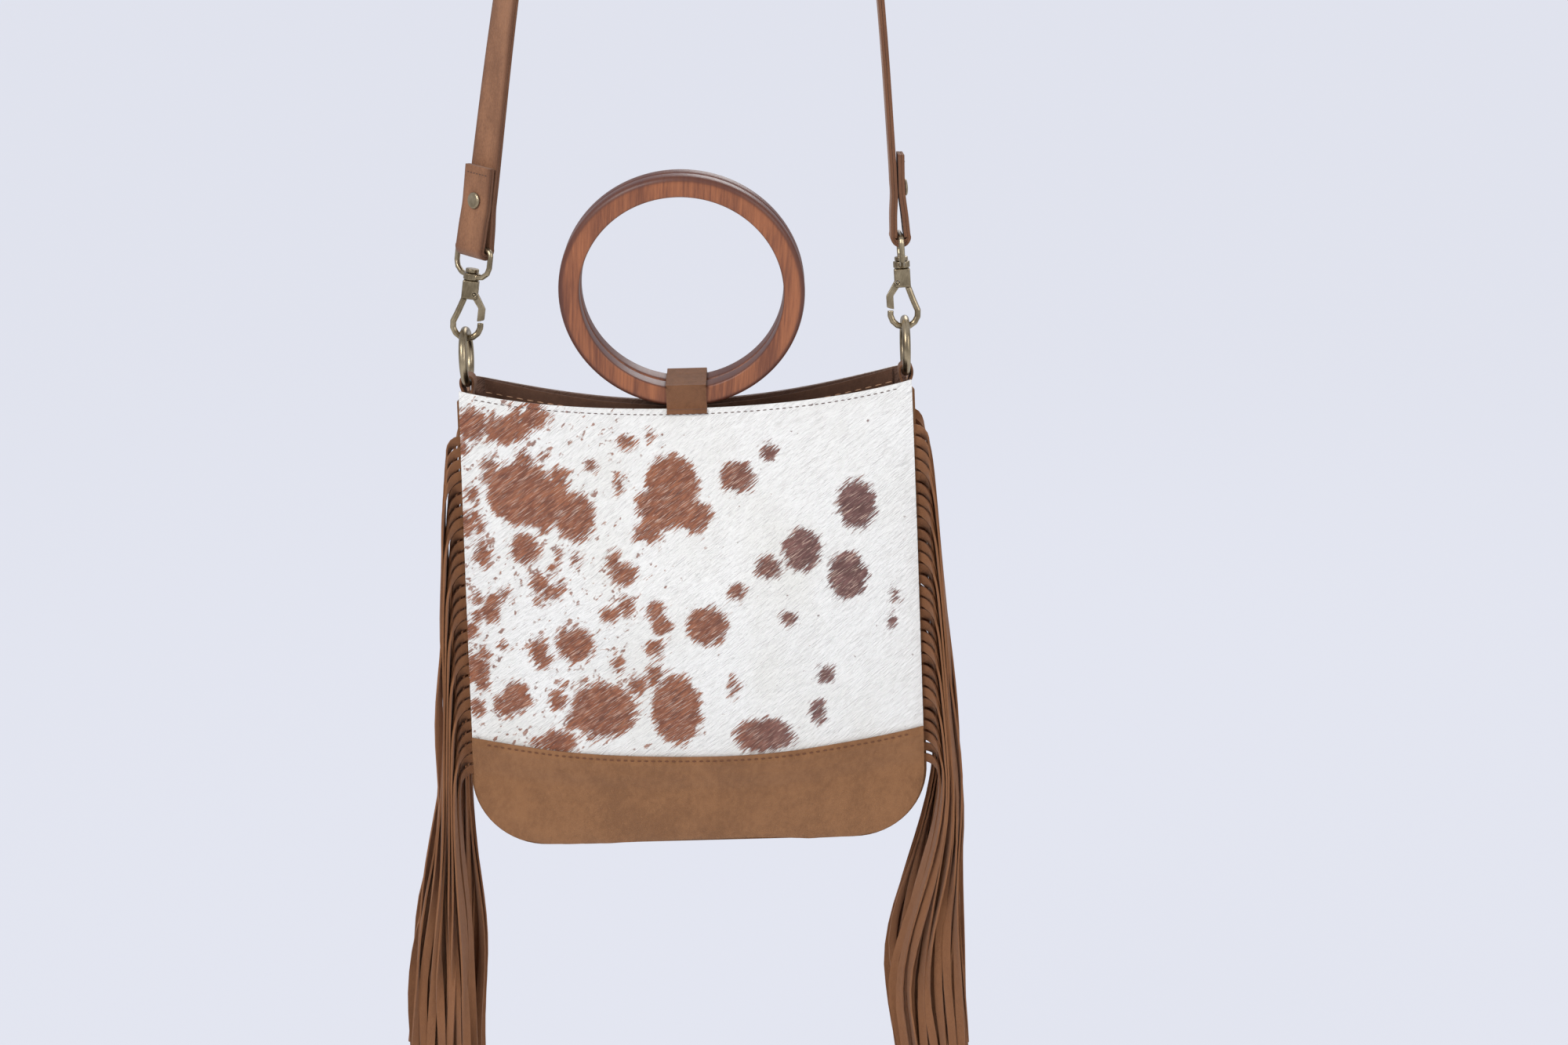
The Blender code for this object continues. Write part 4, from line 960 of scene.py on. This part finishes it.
LOOP_PATH = ((135.2, -681.0), (134.9, -666.0), (133.2, -659.0), (133.5, -654.7), (135.6, -652.9),
             (138.4, -652.9), (140.5, -654.7), (140.8, -659.0), (139.1, -666.0), (139.4, -681.0))
for word, side in (("left", -1), ("right", 1)):
    rows = [(BAG_X + side * x * MM, 0, z * MM, 0, 1, 0) for x, z in LOOP_PATH]
    nodes = ["ring_loop_" + word]
    strip_along("leather_loop_" + word, rows, 13 * MM, 1.5 * MM, 0, tab_suede, nodes, 3)

# %% [markdown]
# ## Brass fittings
# The rings are turned from wire, so a torus makes them. The clips are castings, whose
# corners are soft: each is a copy of the rigid piece, made again as one fine skin and
# smoothed a little, which rounds its edges but keeps its places and holes.

# %% Cast the fittings
def cast_copy(node, name, body, skin=0.35 * MM, rounds=4):
    piece = bpy.data.objects.new(name, bpy.data.objects[node].data.copy())
    piece.data.name = name
    bpy.context.scene.collection.objects.link(piece)
    choose(piece)
    bpy.ops.object.mode_set(mode="EDIT")
    bpy.ops.mesh.select_all(action="SELECT")
    bpy.ops.mesh.remove_doubles(threshold=0.00001)
    bpy.ops.object.mode_set(mode="OBJECT")
    cast = piece.modifiers.new("skin", "REMESH")
    cast.mode, cast.voxel_size = "VOXEL", skin
    soft = piece.modifiers.new("soft", "SMOOTH")
    soft.factor, soft.iterations = 0.5, rounds
    apply_modifiers(piece)
    return finish_piece(piece, brass_material, body, [node], 60)


for word, side in (("left", -1), ("right", 1)):
    bpy.ops.object.select_all(action="DESELECT")
    bpy.ops.mesh.primitive_torus_add(
        major_segments=72, minor_segments=20, major_radius=16.5 * MM, minor_radius=2.5 * MM,
        location=(BAG_X + side * 137 * MM, 0, -641.5 * MM), rotation=(0, math.radians(90), 0))
    wire = bpy.context.object
    wire.name = wire.data.name = "brass_ring_" + word
    bpy.ops.object.transform_apply(location=True, rotation=True, scale=True)
    finish_piece(wire, brass_material, word + "_ring", ["o_ring_" + word], 60)
    for node, body in (("clip_eye", "bag"), ("strap_rivet", "bag"), ("clip_hook", word + "_hook"),
                       ("gate_pin", word + "_hook"), ("clip_gate", word + "_gate")):
        cast_copy(f"{node}_{word}", f"cast_{node}_{word}", body)

# %% [markdown]
# ## Stitches
# A stitch is one short, thick thread. It is modelled once, and copies of it are laid
# along a row, always in the same order, and become one mesh.

# %% Sew the rows
def sort_faces(mesh):
    """Puts a small mesh's faces in the order of their corners, the same on each run."""
    work = bmesh.new()
    work.from_mesh(mesh)
    base = len(work.verts)

    def rank(face):
        return float(sum(index * base ** k for k, index in enumerate(sorted(v.index for v in face.verts))))

    work.faces.sort(key=rank)
    work.to_mesh(mesh)
    work.free()


def stitch_row(name, places, length, wide, material):
    """Lays one stitch at each place, which is a point and the row's direction there."""
    bpy.ops.object.select_all(action="DESELECT")
    bpy.ops.mesh.primitive_uv_sphere_add(segments=8, ring_count=6, radius=0.5)
    row = bpy.context.object
    row.name = row.data.name = name
    sort_faces(row.data)
    copies = bmesh.new()
    for point, way in places:
        known = len(copies.verts)
        copies.from_mesh(row.data)
        copies.verts.ensure_lookup_table()
        place = Matrix.LocRotScale(point, way.to_track_quat("X", "Z"), (length, wide, wide))
        bmesh.ops.transform(copies, matrix=place, verts=copies.verts[known:])
    copies.to_mesh(row.data)
    copies.free()
    return finish_piece(row, material, "bag")


ROW_REACH = 0.94                 # share of the half width that a row of stitches covers


def across_row(pitch, facing, height_at, outward_at):
    """Places along a row that runs across a panel."""
    steps = int(2 * ROW_REACH * 140 * MM / pitch)
    across = [-ROW_REACH + 2 * ROW_REACH * (k + 0.5) / steps for k in range(steps)]
    spots = [panel_point(u, height_at(u), outward_at(u), facing) for u in across]
    ways = [(spots[min(k + 1, steps - 1)] - spots[max(k - 1, 0)]).normalized() for k in range(steps)]
    return list(zip(spots, ways))


def stitch_depth(u):
    """Stitches inside the mouth lie on the facing's inner face."""
    return -facing_depth(u * (half_width(mouth_height(u)) - FACING_INSET)) - 1.25 * MM


for word, facing in (("front", -1), ("back", 1)):
    band_row = across_row(4.2 * MM, facing, lambda u: band_height(u) - 2.6 * MM, lambda u: 4.95 * MM)
    stitch_row("band_stitches_" + word, band_row, 2.6 * MM, 1.0 * MM, band_thread)
    edge_row = across_row(4.0 * MM, facing, lambda u: mouth_height(u) - 3 * MM, lambda u: 2.3 * MM)
    stitch_row("mouth_stitches_" + word, edge_row, 2.6 * MM, 0.6 * MM, brown_thread)
    inside = across_row(6.5 * MM, facing, lambda u: mouth_height(u) - 9 * MM, stitch_depth)
    stitch_row("facing_stitches_" + word, inside, 4.4 * MM, 0.8 * MM, peach_thread)

for word, first, second in (("left", 0, 1), ("right", -1, -2)):
    start, after = Vector(stations[first][:3]), Vector(stations[second][:3])
    side_way = Vector(stations[first][3:6]).normalized()
    outward = (after - start).cross(side_way).normalized()
    outer = Vector((0, -1, 0)) if word == "left" else Vector((1, 0, 0))
    outward *= math.copysign(STRAP_LAYER + 0.15 * MM, outward.dot(outer))
    row = [(start + (after - start).normalized() * 4.5 * MM + side_way * k * 2.6 * MM + outward, side_way)
           for k in range(-3, 4)]
    stitch_row("flap_stitches_" + word, row, 1.7 * MM, 0.6 * MM, brown_thread)
